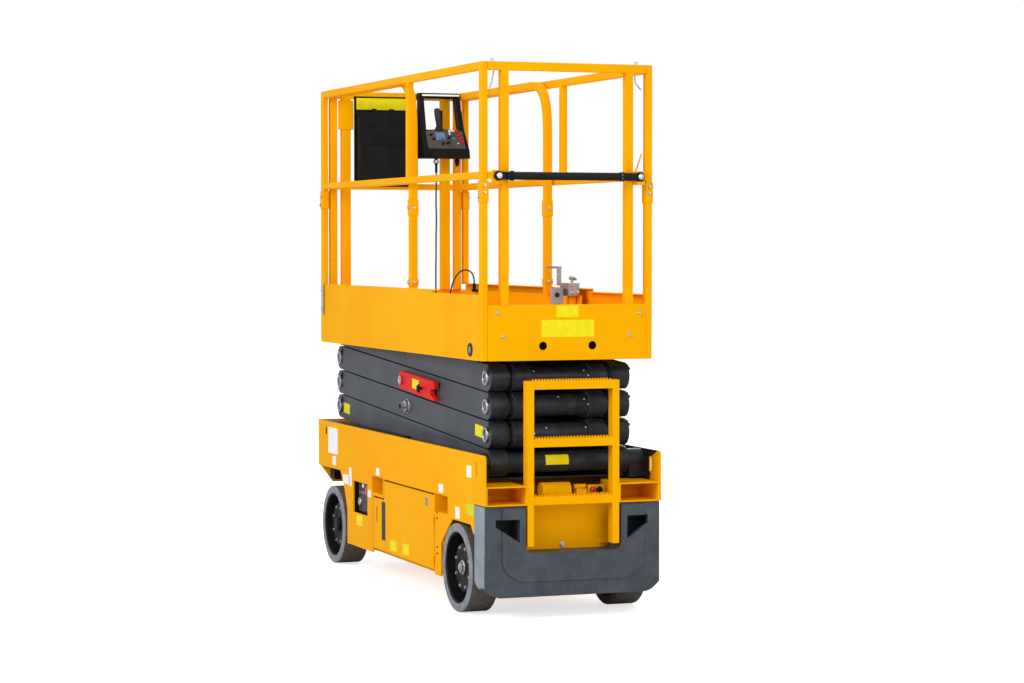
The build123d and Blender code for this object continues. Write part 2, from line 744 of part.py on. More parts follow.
# Platform deck with its side skirts, the hangers of the rear pivot and the upper roller tracks
skirt_flange = 34.5
track_y = (roller_flange_y, platform_y - skirt_sheet)
hanger_y = (inner_arm_face + moving_gap, outer_arm_face - arm_width - moving_gap)
top_pin_z = pin_row[arm_levels]
floor_low = floor_top - floor_plate
with BuildPart() as deck:
    block((platform_rear + post_x, platform_front - skirt_sheet),
          (-platform_y + skirt_sheet, platform_y - skirt_sheet),
          (floor_low, floor_top))
    block((platform_rear + skirt_sheet, platform_rear + post_x), (-platform_y + post_y, platform_y - post_y),
          (floor_low, floor_top))
    for sign in (1, -1):
        skirt_y = both(sign, platform_y - skirt_sheet, platform_y)
        block((skirt_step_x, platform_front), skirt_y, (skirt_bottom, skirt_top))
        block((platform_rear + post_x, skirt_step_x), skirt_y, (skirt_bottom, skirt_top_rear))
        flange_y = both(sign, platform_y - skirt_flange, platform_y)
        block((skirt_step_x, platform_front), flange_y, (skirt_top - skirt_sheet, skirt_top))
        block((platform_rear + post_x, skirt_step_x), flange_y,
              (skirt_top_rear - skirt_sheet, skirt_top_rear))
        for low in (top_pin_z - roller_radius - 1 - flange, top_pin_z + roller_radius + 1):
            block((track_travel_x, track_front_x), both(sign, *track_y), (low, low + flange))
        across(rear_pin_x, top_pin_z, both(sign, *hanger_y), cross_tube_radius)
        block((rear_pin_x - cross_tube_radius, rear_pin_x + cross_tube_radius), both(sign, *hanger_y),
              (top_pin_z, floor_low))
    across(rear_pin_x, top_pin_z, (-platform_y + skirt_sheet, platform_y - skirt_sheet), shaft_radius)
    block((platform_front - skirt_sheet, platform_front), (-platform_y, platform_y),
          (skirt_bottom, floor_top))
save(deck.part, "platform_deck")

# Rear panel of the platform
panel_hole_radius = 18.0
with BuildPart() as rear_panel:
    panel_half = platform_y - post_y
    block((platform_rear, platform_rear + skirt_sheet), (-panel_half, panel_half),
          (skirt_bottom, rear_panel_top))
    block((platform_rear, platform_rear + post_x), (-panel_half, panel_half),
          (rear_panel_top - skirt_sheet, rear_panel_top))
    for sign in (1, -1):
        along(sign * 112, 1144, (platform_rear - 1, platform_rear + skirt_sheet + 1), panel_hole_radius,
              mode=Mode.SUBTRACT)
save(rear_panel.part, "platform_rear_panel")

# Side guardrails of the main deck
upper_post_x = (-178.0, -138.0)
front_post_x = (platform_front - post_x, platform_front)
mid_rail = (mid_rail_top - mid_rail_height, mid_rail_top)
top_rail = (rail_top - rail_height, rail_top)


def make_guardrail(name, sign):
    outer_y = both(sign, platform_y - post_y, platform_y)
    with BuildPart() as rail:
        block((platform_rear, platform_rear + post_x), outer_y, (skirt_bottom, rail_top))
        block(front_post_x, outer_y, (skirt_top, rail_top))
        block(upper_post_x, outer_y, (mid_rail[0], rail_top))
        block((platform_rear, platform_front), outer_y, mid_rail)
        block((platform_rear, platform_front), outer_y, top_rail)
    save(rail.part, name)


for side, sign in sides:
    make_guardrail(f"guardrail_{side}", sign)

# Rear portal: the two entry posts, the bar over them, the short side bars and the gate bar's two brackets
portal_y = (266.0, 298.0)
gate_radius = 17.0
gate_z = 1857.0
gate_x = platform_rear - moving_gap - gate_radius
gate_eye_y = 320.0
gate_pin_radius = 7.0
with BuildPart() as portal:
    block((platform_rear, platform_rear + post_x), (-platform_y + post_y, platform_y - post_y), top_rail)
    for sign in (1, -1):
        block((platform_rear, platform_rear + post_x), both(sign, *portal_y), (rear_panel_top, rail_top))
        block((platform_rear, platform_rear + 30), both(sign, portal_y[1], platform_y - post_y), mid_rail)
        block((gate_x + 8, platform_rear), both(sign, gate_eye_y - 24, gate_eye_y + 24),
              (gate_z - 34, gate_z + 24))
    along(gate_eye_y, gate_z, (gate_x - 14, gate_x + 8), gate_pin_radius)
    block((gate_x - 10, gate_x + 8), (-gate_eye_y - 18, -gate_eye_y + 18), (gate_z - 34, gate_z - 20.3))
save(portal.part, "rear_portal")

# Gate bar across the entry: it swings up about the pin in its left eye and rests on the right bracket's ledge
with BuildPart() as gate:
    across(gate_x, gate_z, (-gate_eye_y + 34, gate_eye_y - 34), gate_radius)
    for sign in (1, -1):
        block((gate_x - 6, gate_x + 6), both(sign, gate_eye_y - 50, gate_eye_y), (gate_z - 16, gate_z + 16))
        along(sign * gate_eye_y, gate_z, (gate_x - 6, gate_x + 6), 20)
    along(gate_eye_y, gate_z, (gate_x - 6, gate_x + 6), gate_pin_radius + running_gap, mode=Mode.SUBTRACT)
    across(gate_x, gate_z, (-246, -228), gate_radius + 3)
save(gate.part, "gate_bar")

# Deck extension: floor, toe boards and its guardrails, sliding out of the front
extension_y = platform_y - skirt_flange - moving_gap
extension_post = (extension_y - extension_post_y, extension_y)
with BuildPart() as extension_deck:
    block((extension_rear, platform_front - 8), (-extension_y + 4, extension_y - 4),
          (extension_floor, extension_floor + sheet))
    for sign in (1, -1):
        block((extension_rear, platform_front), both(sign, extension_y - 4, extension_y),
              (extension_floor, extension_wall_top))
        block((extension_rear, platform_front - 8), both(sign, 290, 320), (floor_top + 0.3, extension_floor))
    block((platform_front - 8, platform_front - 4), (-extension_y, extension_y),
          (extension_floor, extension_wall_top))
save(extension_deck.part, "extension_deck")
bend_low = 2090.0
bend_run = 200.0


def make_extension_rail(name, sign):
    rail_y = both(sign, *extension_post)
    near = extension_post[1] if sign > 0 else -extension_post[0]
    with BuildPart() as rail:
        block(front_post_x, rail_y, (extension_wall_top, rail_top))
        block((extension_post_x, platform_front), rail_y, mid_rail)
        with BuildSketch(Plane.XZ.offset(-near)) as side_view:
            with BuildLine():
                Polyline((front_post_x[0], rail_top), (extension_post_x + bend_run, rail_top))
                outer = Spline((extension_post_x + bend_run, rail_top), (extension_post_x, bend_low),
                               tangents=((-1, 0), (0, -1)))
                Polyline((extension_post_x, bend_low), (extension_post_x, extension_wall_top),
                         (extension_post_x + rail_height, extension_wall_top),
                         (extension_post_x + rail_height, bend_low))
                inner = Spline((extension_post_x + rail_height, bend_low),
                               (extension_post_x + bend_run, top_rail[0]), tangents=((0, 1), (1, 0)))
                Polyline((extension_post_x + bend_run, top_rail[0]), (front_post_x[0], top_rail[0]),
                         (front_post_x[0], rail_top))
            make_face()
        extrude(side_view.sketch, amount=extension_post_y)
    save(rail.part, name)


for side, sign in sides:
    make_extension_rail(f"extension_rail_{side}", sign)

# Front frame of the extension
frame_post = (241.0, 285.0)
with BuildPart() as front_frame:
    inner = extension_post[0]
    for rail in (mid_rail, top_rail):
        block(front_post_x, (-inner, inner), rail)
    for sign in (1, -1):
        block(front_post_x, both(sign, *frame_post), (extension_wall_top, top_rail[0]))
    block((platform_front - post_x - 5, platform_front - post_x), (228, 309), (2144, 2290))
save(front_frame.part, "extension_front_frame")

# Document box on the front frame
with BuildPart() as documents:
    block((platform_front - post_x - 62, platform_front - post_x - 5), (-95, 215), (1895, 2230))
    fillet(documents.edges().filter_by(Axis.Z), 10)
    block((platform_front - post_x - 5, platform_front - post_x), (-95, 225), (1860, 2311))
save(documents.part, "document_box")

# Upper control box: a trapezoid frame that leans forward, its panel sloping in it, hung on the front top rail
control_low_y = (-325.0, -78.0)
control_high_y = (-297.0, -88.0)
control_z = (2000.0, 2330.0)
panel_z = (2040.0, 2145.0)
control_x = (985.0, 1095.0)
hook_x = 1120.0
stick_y = -188.0
with BuildPart() as control:
    end_outline(
        control_x[0],
        [(control_low_y[0], control_z[0]), (control_low_y[1], control_z[0]),
         (control_high_y[1], control_z[1]),
         (control_high_y[0], control_z[1])],
        hook_x - control_x[0],
    )
    end_outline(
        control_x[0],
        [(control_low_y[0] + 34, panel_z[1]), (control_low_y[1] - 34, panel_z[1]),
         (control_high_y[1] - 22, control_z[1] - 28), (control_high_y[0] + 22, control_z[1] - 28)],
        hook_x - control_x[0],
        mode=Mode.SUBTRACT,
    )
    side_outline(
        control_low_y[1] + 1,
        [(control_x[0], control_z[0]), (control_x[0], panel_z[0]), (control_x[0] + 58, panel_z[1]),
         (hook_x - 38, control_z[1]), (hook_x, control_z[1]), (control_x[1] + 5, panel_z[1]),
         (control_x[1], control_z[0])],
        control_low_y[1] - control_low_y[0] + 2,
        mode=Mode.INTERSECT,
    )
    upright(control_x[0] + 72, stick_y, (panel_z[1], panel_z[1] + 96), 14)
    for y in (control_high_y[0] + 30, control_high_y[1] - 30):
        block((hook_x - 15, platform_front - post_x), (y - 14, y + 14), (control_z[1] - 24, control_z[1] - 4))
save(control.part, "control_box")

# Extension pedal latch and the outlet box beside it, near the extension's rear edge
latch_y = (-338.0, -308.0)
latch_z = 1338.0
with BuildPart() as pedal:
    block((-408, -372), latch_y, (extension_floor + sheet, latch_z))
    block((-448, -340), (latch_y[0], latch_y[1] + 24), (latch_z, latch_z + 58))
    block((-340, -230), (latch_y[0] + 6, latch_y[0] + 26), (latch_z + 44, latch_z + 54))
    block((-240, -230), (latch_y[0] + 6, latch_y[0] + 26), (latch_z + 54, latch_z + 132))
    block((-230, -150), (latch_y[0], latch_y[0] + 46), (latch_z + 122, latch_z + 132))
    block((-404, -364), (latch_y[1] + 30, latch_y[1] + 80), (1300, 1372))
    block((-394, -374), (latch_y[1] + 40, latch_y[1] + 70), (extension_floor + sheet, 1300))
save(pedal.part, "latch_and_outlet")

# Control cable: a strain relief under the control box, the cable, and its connector on the wall
cable_radius = 4.0
gland = (1045.0, -165.0, 2000.0)
socket = (930.0, -326.0, 1352.0)
route = [
    (gland[0], gland[1], gland[2] - 70),
    (gland[0], gland[1], 1860),
    (gland[0] - 6, gland[1] + 4, 1780),
    (gland[0] - 9, gland[1] + 2, 1700),
    (gland[0] - 10, gland[1] + 5, 1615),
    (gland[0] - 8, gland[1] + 4, 1530),
    (gland[0] - 12, gland[1] + 7, 1445),
    (gland[0] - 10, gland[1] + 6, 1365),
    (gland[0] - 14, gland[1] + 8, 1290),
    (gland[0] - 24, gland[1] + 4, 1232),
    (gland[0] - 54, gland[1] - 12, 1217),
    (gland[0] - 84, gland[1] - 22, 1232),
    (gland[0] - 104, gland[1] - 32, 1300),
    (gland[0] - 112, gland[1] - 48, 1385),
    (gland[0] - 118, gland[1] - 84, 1440),
    (gland[0] - 124, gland[1] - 130, 1443),
    (socket[0], socket[1], 1412),
    (socket[0], socket[1], socket[2] + 22),
]


def bend_radii(points):
    """The largest arc at each corner that its two runs allow."""
    corners = [Vector(*point) for point in points]
    radii = []
    for before, here, after in zip(corners, corners[1:], corners[2:]):
        turn = radians((here - before).get_angle(after - here))
        shorter = min((here - before).length, (after - here).length)
        radii.append(0.45 * shorter / tan(turn / 2))
    return radii


radii = bend_radii(route)
with BuildPart() as cable:
    with BuildLine() as cable_path:
        FilletPolyline(*route, radius=radii)
    with BuildSketch(Plane(origin=route[0], z_dir=Vector(*route[1]) - Vector(*route[0]))):
        Circle(cable_radius)
    sweep()
save(cable.part, "control_cable")
print("cable radii", [round(r) for r in radii])
print("cable length", round(cable_path.wires()[0].length), "volume ratio",
      round(cable.part.volume / (3.14159265 * cable_radius ** 2 * cable_path.wires()[0].length), 4))
with BuildPart() as relief:
    upright(gland[0], gland[1], (gland[2] - 30, gland[2]), 9)
    upright(gland[0], gland[1], (gland[2] - 70, gland[2] - 30), 6.5)
save(relief.part, "cable_gland")
with BuildPart() as connector:
    upright(socket[0], socket[1], (socket[2] - 6, socket[2] + 22), 8)
    block((socket[0] - 14, socket[0] + 14), (-extension_y + 4, socket[1] + 10),
          (socket[2] - 20, socket[2] - 6))
save(connector.part, "cable_connector")
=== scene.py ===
import json
import math

import bpy
from mathutils import Matrix, Vector

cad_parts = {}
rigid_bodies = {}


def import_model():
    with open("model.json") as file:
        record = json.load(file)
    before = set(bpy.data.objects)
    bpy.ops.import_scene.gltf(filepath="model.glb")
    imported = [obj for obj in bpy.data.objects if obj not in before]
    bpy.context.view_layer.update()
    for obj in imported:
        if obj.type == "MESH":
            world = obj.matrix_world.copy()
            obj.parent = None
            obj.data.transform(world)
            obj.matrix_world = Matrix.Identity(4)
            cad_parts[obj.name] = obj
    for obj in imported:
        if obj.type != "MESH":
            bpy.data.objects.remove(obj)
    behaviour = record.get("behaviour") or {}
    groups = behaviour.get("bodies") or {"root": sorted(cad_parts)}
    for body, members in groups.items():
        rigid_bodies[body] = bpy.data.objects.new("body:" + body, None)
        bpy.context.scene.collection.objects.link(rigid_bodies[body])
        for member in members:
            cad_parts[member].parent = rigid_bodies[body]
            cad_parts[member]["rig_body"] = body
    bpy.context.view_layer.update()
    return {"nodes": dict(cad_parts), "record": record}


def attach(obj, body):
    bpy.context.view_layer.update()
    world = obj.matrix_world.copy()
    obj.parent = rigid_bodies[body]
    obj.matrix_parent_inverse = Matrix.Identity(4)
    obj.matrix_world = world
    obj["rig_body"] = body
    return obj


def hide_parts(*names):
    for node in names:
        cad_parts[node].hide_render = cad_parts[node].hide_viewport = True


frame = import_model()

# Sizes are in millimetres, in the lift's own frame: +X ahead, +Y left, +Z up, ground at zero.
MM = 0.001

# Where the photograph was taken from
camera_place = (-11.3855, 4.081, 1.578)
camera_yaw = -0.3581
camera_pitch = -0.0378
camera_lens = 91.8

# Finishes


def linear(shade):
    """An sRGB colour such as FFB400 as Blender's linear red, green, blue and alpha."""
    parts = [int(shade[i:i + 2], 16) / 255 for i in (0, 2, 4)]
    return [p / 12.92 if p <= 0.04045 else ((p + 0.055) / 1.055) ** 2.4 for p in parts] + [1.0]


def add(tree, kind, settings=None, links=None):
    """One node with its settings, fed by other nodes' outputs."""
    node = tree.nodes.new(kind)
    for key, value in (settings or {}).items():
        if isinstance(key, int) or key in node.inputs:
            node.inputs[key].default_value = value
        else:
            setattr(node, key, value)
    for socket, source in (links or {}).items():
        tree.links.new(source, node.inputs[socket])
    return node


def new_finish(name, base, roughness, metallic=0.0, **sockets):
    """A material with one surface shader; returns it, its tree, the shader and the Object coordinates."""
    material = bpy.data.materials.new(name)
    material.use_nodes = True
    tree = material.node_tree
    shader = tree.nodes["Principled BSDF"]
    shader.inputs["Base Color"].default_value = linear(base)
    shader.inputs["Roughness"].default_value = roughness
    shader.inputs["Metallic"].default_value = metallic
    for socket, value in sockets.items():
        shader.inputs[socket.replace("_", " ")].default_value = value
    place = add(tree, "ShaderNodeTexCoord").outputs["Object"]
    return material, tree, shader, place


def per_metre(size):
    """The scale of a noise whose features are about this many millimetres across."""
    return 1 / (size * MM)


def noise(tree, place, size, detail=3.0, roughness=0.5):
    settings = {"Scale": per_metre(size), "Detail": detail, "Roughness": roughness}
    return add(tree, "ShaderNodeTexNoise", settings, {"Vector": place}).outputs["Fac"]


def tint(tree, shader, factor, dark, light, low=0.35, high=0.65):
    """Colours a surface between two shades as a pattern goes from low to high."""
    ramp = add(tree, "ShaderNodeValToRGB", links={"Fac": factor})
    for stop, place, shade in zip(ramp.color_ramp.elements, (low, high), (dark, light)):
        stop.position = place
        stop.color = linear(shade)
    tree.links.new(ramp.outputs["Color"], shader.inputs["Base Color"])


def dull(tree, shader, factor, low, high):
    """Lets a surface's roughness go between two values with a pattern."""
    spread = add(tree, "ShaderNodeMapRange", {"To Min": low, "To Max": high}, {"Value": factor})
    tree.links.new(spread.outputs["Result"], shader.inputs["Roughness"])


def relief(tree, shader, height, depth, strength=1.0):
    """Raises a surface by a pattern, by up to depth in millimetres."""
    bump = add(tree, "ShaderNodeBump", {"Strength": strength, "Distance": depth * MM}, {"Height": height})
    tree.links.new(bump.outputs["Normal"], shader.inputs["Normal"])


def powder_coat(name, dark, light, roughness=0.5):
    """Polyester powder coat on steel, baked: an even, bright colour with a faint orange peel in its gloss."""
    material, tree, shader, place = new_finish(name, light, roughness, Specular_IOR_Level=0.03)
    tint(tree, shader, noise(tree, place, 260, 2.0), dark, light)
    dull(tree, shader, noise(tree, place, 60, 4.0), roughness - 0.05, roughness + 0.1)
    relief(tree, shader, noise(tree, place, 2.6, 1.0), 0.05, 0.35)
    return material


def arm_enamel(name):
    """Two-pack enamel sprayed on the arms: blue-grey, satin, a little dusty in broad clouds."""
    material, tree, shader, place = new_finish(name, "4B4F56", 0.45, Specular_IOR_Level=0.12)
    tint(tree, shader, noise(tree, place, 180, 4.0), "474B52", "50545B")
    dull(tree, shader, noise(tree, place, 35, 4.0), 0.36, 0.52)
    relief(tree, shader, noise(tree, place, 2.2, 1.0), 0.05, 0.35)
    return material


def black_enamel(name, dark, light, roughness):
    """Black enamel on tubes, rims and axles: nearly black, with soft highlights and a film of dust."""
    material, tree, shader, place = new_finish(name, light, roughness, Specular_IOR_Level=0.2)
    tint(tree, shader, noise(tree, place, 45, 5.0, 0.6), dark, light)
    dull(tree, shader, noise(tree, place, 18, 4.0), roughness - 0.08, roughness + 0.16)
    relief(tree, shader, noise(tree, place, 1.8, 1.0), 0.04, 0.3)
    return material


def moulded_bumper(name, dark, light):
    """Rotationally moulded polyethylene: blue-grey and matt, with a pebble grain about 3 mm across."""
    material, tree, shader, place = new_finish(name, light, 0.5, Specular_IOR_Level=0.4)
    tint(tree, shader, noise(tree, place, 90, 6.0, 0.65), dark, light)
    cells = add(tree, "ShaderNodeTexVoronoi", {"Scale": per_metre(3.2)}, {"Vector": place})
    relief(tree, shader, cells.outputs["Distance"], 0.5, 0.55)
    return material


def moulded_abs(name, light="161719", dark="0F1011"):
    """ABS housings: matt, with a fine spark-eroded grain drawn at 1.4 mm, as coarse as it needs to show."""
    material, tree, shader, place = new_finish(name, light, 0.5, Specular_IOR_Level=0.1)
    tint(tree, shader, noise(tree, place, 70, 3.0), dark, light)
    relief(tree, shader, noise(tree, place, 1.4, 2.0), 0.12, 0.5)
    return material


def plated_steel(name, dark="A4A7AA", light="BDC0C3", roughness=0.3):
    """Zinc plated steel: bright, slightly cloudy grey with fine drawing marks."""
    material, tree, shader, place = new_finish(name, light, roughness, 1.0)
    tint(tree, shader, noise(tree, place, 12, 3.0), dark, light)
    dull(tree, shader, noise(tree, place, 4, 3.0), roughness - 0.08, roughness + 0.14)
    relief(tree, shader, noise(tree, place, 1.2, 1.0), 0.03, 0.3)
    return material


def ground_chrome(name):
    """Hard chrome on the cylinder's rod, ground and polished: a clear mirror."""
    material, tree, shader, place = new_finish(name, "D4D6D8", 0.09, 1.0)
    dull(tree, shader, noise(tree, place, 5, 2.0), 0.06, 0.14)
    return material


def tread_rubber(name):
    """Solid non-marking tyre rubber: warm grey with floor dust rubbed into the running face in streaks."""
    material, tree, shader, place = new_finish(name, "605B55", 0.85, Specular_IOR_Level=0.2)
    tint(tree, shader, noise(tree, place, 22, 8.0, 0.7), "4C4743", "6C665F", 0.3, 0.7)
    relief(tree, shader, noise(tree, place, 3.0, 5.0, 0.7), 0.5, 0.6)
    return material


def sidewall_rubber(name):
    """The tyre's moulded side: cooler and lighter grey than the running face, smooth and dull."""
    material, tree, shader, place = new_finish(name, "878B92", 0.7)
    tint(tree, shader, noise(tree, place, 40, 6.0, 0.6), "777B82", "94989F")
    relief(tree, shader, noise(tree, place, 1.6, 2.0), 0.1, 0.4)
    return material


def cable_jacket(name):
    """Black rubber cable sheath, dull, with a faint ribbing."""
    material, tree, shader, place = new_finish(name, "17181A", 0.55)
    tint(tree, shader, noise(tree, place, 12, 3.0), "101113", "1F2022")
    relief(tree, shader, noise(tree, place, 1.5, 2.0), 0.1, 0.4)
    return material


def vinyl_label(name, shade, other):
    """Printed vinyl label: flat, even colour with a dull sheen."""
    material, tree, shader, place = new_finish(name, shade, 0.5, Specular_IOR_Level=0.1)
    tint(tree, shader, noise(tree, place, 30, 1.0), other, shade)
    return material


def glossy_plastic(name, dark, light):
    """Injection-moulded knobs and buttons in a solid colour, glossy, with small tool marks."""
    material, tree, shader, place = new_finish(name, light, 0.25)
    tint(tree, shader, noise(tree, place, 8, 2.0), dark, light)
    relief(tree, shader, noise(tree, place, 1.2, 1.0), 0.03, 0.25)
    return material


yellow_paint = powder_coat("yellow_powder_coat", "FFB000", "FFB700")
red_enamel = powder_coat("red_powder_coat", "D9241C", "EA2F26", 0.3)
arm_paint = arm_enamel("grey_arm_enamel")
# Black enamel, the real finish of the cross tubes, keepers and collars; also used as painted shade on the
# arms' end faces, the upper deck, the tray inside and the sheets behind the bumper
tube_enamel_and_painted_shade = black_enamel("black_tube_enamel_and_painted_shade", "1C1E20", "2E3134", 0.36)
rim_paint = black_enamel("black_rim_enamel", "070708", "101214", 0.5)
axle_paint = black_enamel("dark_axle_enamel", "1C1E20", "2A2D30", 0.5)
bumper_skin = moulded_bumper("grained_polyethylene", "363C44", "474E57")
# A lighter copy of the bumper's polyethylene for its flanks: painted light, the side made brighter as if a
# lamp falls on it
bumper_painted_light_skin = moulded_bumper("painted_light_polyethylene", "7C8994", "93A0AC")
black_moulding = moulded_abs("black_abs")
zinc = plated_steel("zinc_plated_steel")
pedal_metal = plated_steel("worn_pedal_steel", "8F8C87", "A3A09B", 0.42)
pin_centre = plated_steel("dull_pin_end_steel", "767C83", "868C93", 0.45)
chrome = ground_chrome("ground_hard_chrome")
tyre_tread = tread_rubber("tyre_running_face")
tyre_side = sidewall_rubber("tyre_side_rubber")
cable_sheath = cable_jacket("cable_sheath_rubber")
yellow_label = vinyl_label("yellow_vinyl", "FAEC1A", "F4E412")
white_label = vinyl_label("white_vinyl", "FFFFFF", "FAFAFA")
grey_label = vinyl_label("grey_vinyl", "8B9098", "82878F")
green_label = vinyl_label("green_vinyl", "D6E02A", "CDD824")
blue_label = vinyl_label("blue_vinyl", "7E93C4", "7388BA")
panel_grey = moulded_abs("engraved_panel_abs", "5A5550", "4C4844")
vent_grey = moulded_abs("vent_abs", "4A4D52", "3C3F43")
outlet_grey = moulded_abs("outlet_box_abs", "A4ACBE", "959DB0")
red_plastic = glossy_plastic("red_button_plastic", "B5101C", "D8182A")
green_plastic = glossy_plastic("green_button_plastic", "0F8C6C", "16A882")
teal_plastic = glossy_plastic("teal_knob_plastic", "2C7C9C", "3A96B8")

SLOT_FINISH = {
    "frame_paint": axle_paint, "yellow_paint": yellow_paint, "body_paint": yellow_paint,
    "arm_paint": arm_paint, "pin_steel": zinc, "tyre": tyre_tread, "rim_paint": rim_paint,
    "bumper_plastic": bumper_skin, "black_plastic": black_moulding, "red_paint": red_enamel,
    "galvanised": pedal_metal, "cable_rubber": cable_sheath, "chrome_rod": chrome,
}

# Hand tools

SIDES = (("left", 1), ("right", -1))
LEFT = (0, 1, 0)
BACK = (-1, 0, 0)
UP = (0, 0, 1)
DOWN = (0, 0, -1)


def deselect():
    bpy.ops.object.select_all(action="DESELECT")


def take(piece):
    """Makes one piece the one that the next operators act on."""
    deselect()
    piece.select_set(True)
    bpy.context.view_layer.objects.active = piece
    return piece


def edit(piece):
    """Opens a piece for editing with everything selected."""
    take(piece)
    bpy.ops.object.mode_set(mode="EDIT")
    bpy.ops.mesh.select_all(action="SELECT")


def close_up(piece):
    """Merges doubles, points every face outwards and leaves edit mode."""
    bpy.ops.mesh.select_all(action="SELECT")
    bpy.ops.mesh.remove_doubles(threshold=0.005 * MM)
    bpy.ops.mesh.normals_make_consistent(inside=False)
    bpy.ops.object.mode_set(mode="OBJECT")
    return piece


def smooth(piece, angle=40):
    take(piece)
    bpy.ops.object.shade_smooth_by_angle(angle=math.radians(angle))
    return piece


def soften(piece, width, steps=2):
    """Rounds a piece's sharp edges by a width in millimetres and keeps its flat faces flat."""
    take(piece)
    bevel = piece.modifiers.new("rounding", "BEVEL")
    bevel.width = width * MM
    bevel.segments = steps
    bevel.limit_method = "ANGLE"
    bevel.angle_limit = math.radians(30)
    bpy.ops.object.modifier_apply(modifier="rounding")
    smooth(piece, 50)
    piece.modifiers.new("shading", "WEIGHTED_NORMAL").keep_sharp = True
    bpy.ops.object.modifier_apply(modifier="shading")
    return piece


def settle(name):
    """Names the new primitive and puts its place, turn and size into its mesh."""
    piece = bpy.context.object
    piece.name = name
    piece.data.name = name
    bpy.ops.object.transform_apply(location=True, rotation=True, scale=True)
    return piece


def block(name, x, y, z, edge=1.5):
    """A box between the two values of x, y and z, its edges rounded."""
    deselect()
    middle = [(low + high) / 2 * MM for low, high in (x, y, z)]
    size = [abs(high - low) * MM for low, high in (x, y, z)]
    bpy.ops.mesh.primitive_cube_add(size=1, location=middle, scale=size)
    return soften(settle(name), edge)


def bar(name, start, end, radius, edge=1.0):
    """A round bar from one point to another, with rounded rims."""
    deselect()
    start, end = Vector(start) * MM, Vector(end) * MM
    turn = (end - start).to_track_quat("Z", "Y").to_euler()
    bpy.ops.mesh.primitive_cylinder_add(vertices=32, radius=radius * MM, depth=(end - start).length,
                                        location=(start + end) / 2, rotation=turn)
    return soften(settle(name), edge)


def turned(name, profile, sides=36):
    """A round piece on Z: a disc, extruded and scaled along a profile of radius and height."""
    deselect()
    radius, height = profile[0]
    bpy.ops.mesh.primitive_circle_add(vertices=sides, radius=radius * MM, fill_type="NGON",
                                      location=(0, 0, height * MM))
    piece = settle(name)
    edit(piece)
    for wide, high in profile[1:]:
        rise = (0, 0, (high - height) * MM)
        bpy.ops.mesh.extrude_region_move(TRANSFORM_OT_translate={"value": rise})
        bpy.ops.transform.resize(value=(wide / radius, wide / radius, 1))
        radius, height = wide, high
    return smooth(close_up(piece))


def row_of(piece, count, step, second=None):
    """Repeats a piece along a step in millimetres, and the row along a second step."""
    take(piece)
    for times, gap in ((count, step), second or (1, (0, 0, 0))):
        if times > 1:
            array = piece.modifiers.new("row", "ARRAY")
            array.count = times
            array.use_relative_offset = False
            array.use_constant_offset = True
            array.constant_offset_displace = [value * MM for value in gap]
            bpy.ops.object.modifier_apply(modifier="row")
    return piece


def put(pattern, point, direction=UP, turn=0):
    """A copy of a piece that was modelled at the origin, pointing up, on a point and facing a direction."""
    copy = pattern.copy()
    copy.data = pattern.data.copy()
    bpy.context.collection.objects.link(copy)
    aim = Vector(direction).to_track_quat("Z", "Y").to_matrix().to_4x4()
    spin = Matrix.Rotation(math.radians(turn), 4, "Z")
    copy.data.transform(Matrix.Translation(Vector(point) * MM) @ aim @ spin)
    return copy


def discard(piece):
    bpy.data.objects.remove(piece)


def join(name, parts):
    """Several pieces as one."""
    deselect()
    for part in parts:
        part.select_set(True)
    bpy.context.view_layer.objects.active = parts[0]
    if len(parts) > 1:
        bpy.ops.object.join()
    piece = bpy.context.view_layer.objects.active
    piece.name = name
    piece.data.name = name
    return piece


def finish_as(piece, material, body):
    """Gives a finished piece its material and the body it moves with."""
    piece.data.materials.clear()
    piece.data.materials.append(material)
    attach(piece, body)
    return piece


def recolour(piece, material, chosen):
    """Gives another material to the faces whose centre and normal, in millimetres, are chosen."""
    piece.data.materials.append(material)
    index = len(piece.data.materials) - 1
    for face in piece.data.polygons:
        if chosen(face.center / MM, face.normal):
            face.material_index = index


def everywhere(middle, normal):
    return True


def set_out(name, pattern, spots, material, body):
    """Copies of one pattern on points and directions, joined as one piece; the pattern is kept."""
    return finish_as(join(name, [put(pattern, *spot) for spot in spots]), material, body)


def label(name, width, height, point, direction, material, body, turn=0.0, corner=4.0):
    """A blank sticker, half a millimetre thick, its corners rounded."""
    deselect()
    bpy.ops.mesh.primitive_plane_add(size=1)
    bpy.context.object.scale = (width * MM, height * MM, 1)
    piece = settle(name)
    edit(piece)
    bpy.ops.mesh.bevel(offset=corner * MM, segments=3, affect="VERTICES")
    bpy.ops.mesh.select_all(action="SELECT")
    bpy.ops.mesh.extrude_region_move(TRANSFORM_OT_translate={"value": (0, 0, 0.5 * MM)})
    close_up(piece)
    placed = put(piece, point, direction, turn)
    discard(piece)
    placed.name = placed.data.name = name
    return finish_as(placed, material, body)


# Built pieces, their edges rounded so that they catch the light

plain_edge = 1.5
rail_edge = 4.5
arm_edge = 4.0
plate_edge = 1.2
EDGES = {
    "guardrail_left": rail_edge, "guardrail_right": rail_edge, "extension_rail_left": rail_edge,
    "extension_rail_right": rail_edge, "rear_portal": 4.0, "extension_front_frame": 4.0, "rear_ladder": 2.5,
    "rear_step_boxes": 2.5, "rear_bumper": 7.0, "platform_deck": plate_edge, "extension_deck": plate_edge,
    "platform_rear_panel": plate_edge, "side_plate_left": 1.6, "side_plate_right": 1.6, "door_left": 2.0,
    "door_right": 2.0, "fork_pockets": 2.0, "document_box": 3.0, "control_box": 5.0, "gate_bar": 2.0,
    "safety_prop": 3.0,
}
for level in range(1, 5):
    EDGES[f"outer_arms_{level}"] = arm_edge
    EDGES[f"inner_arms_{level}"] = arm_edge

# The bumper's corners seen from behind, each as distance from the middle, height, and radius
BUMPER_CORNERS = [(216, 280, 34), (400, 140, 26), (350, 95, 26), (320, 220, 30), (250, 160, 30)]

slots = {row["node"]: row["material_slot"] for row in frame["record"]["subparts"]}
built = {}


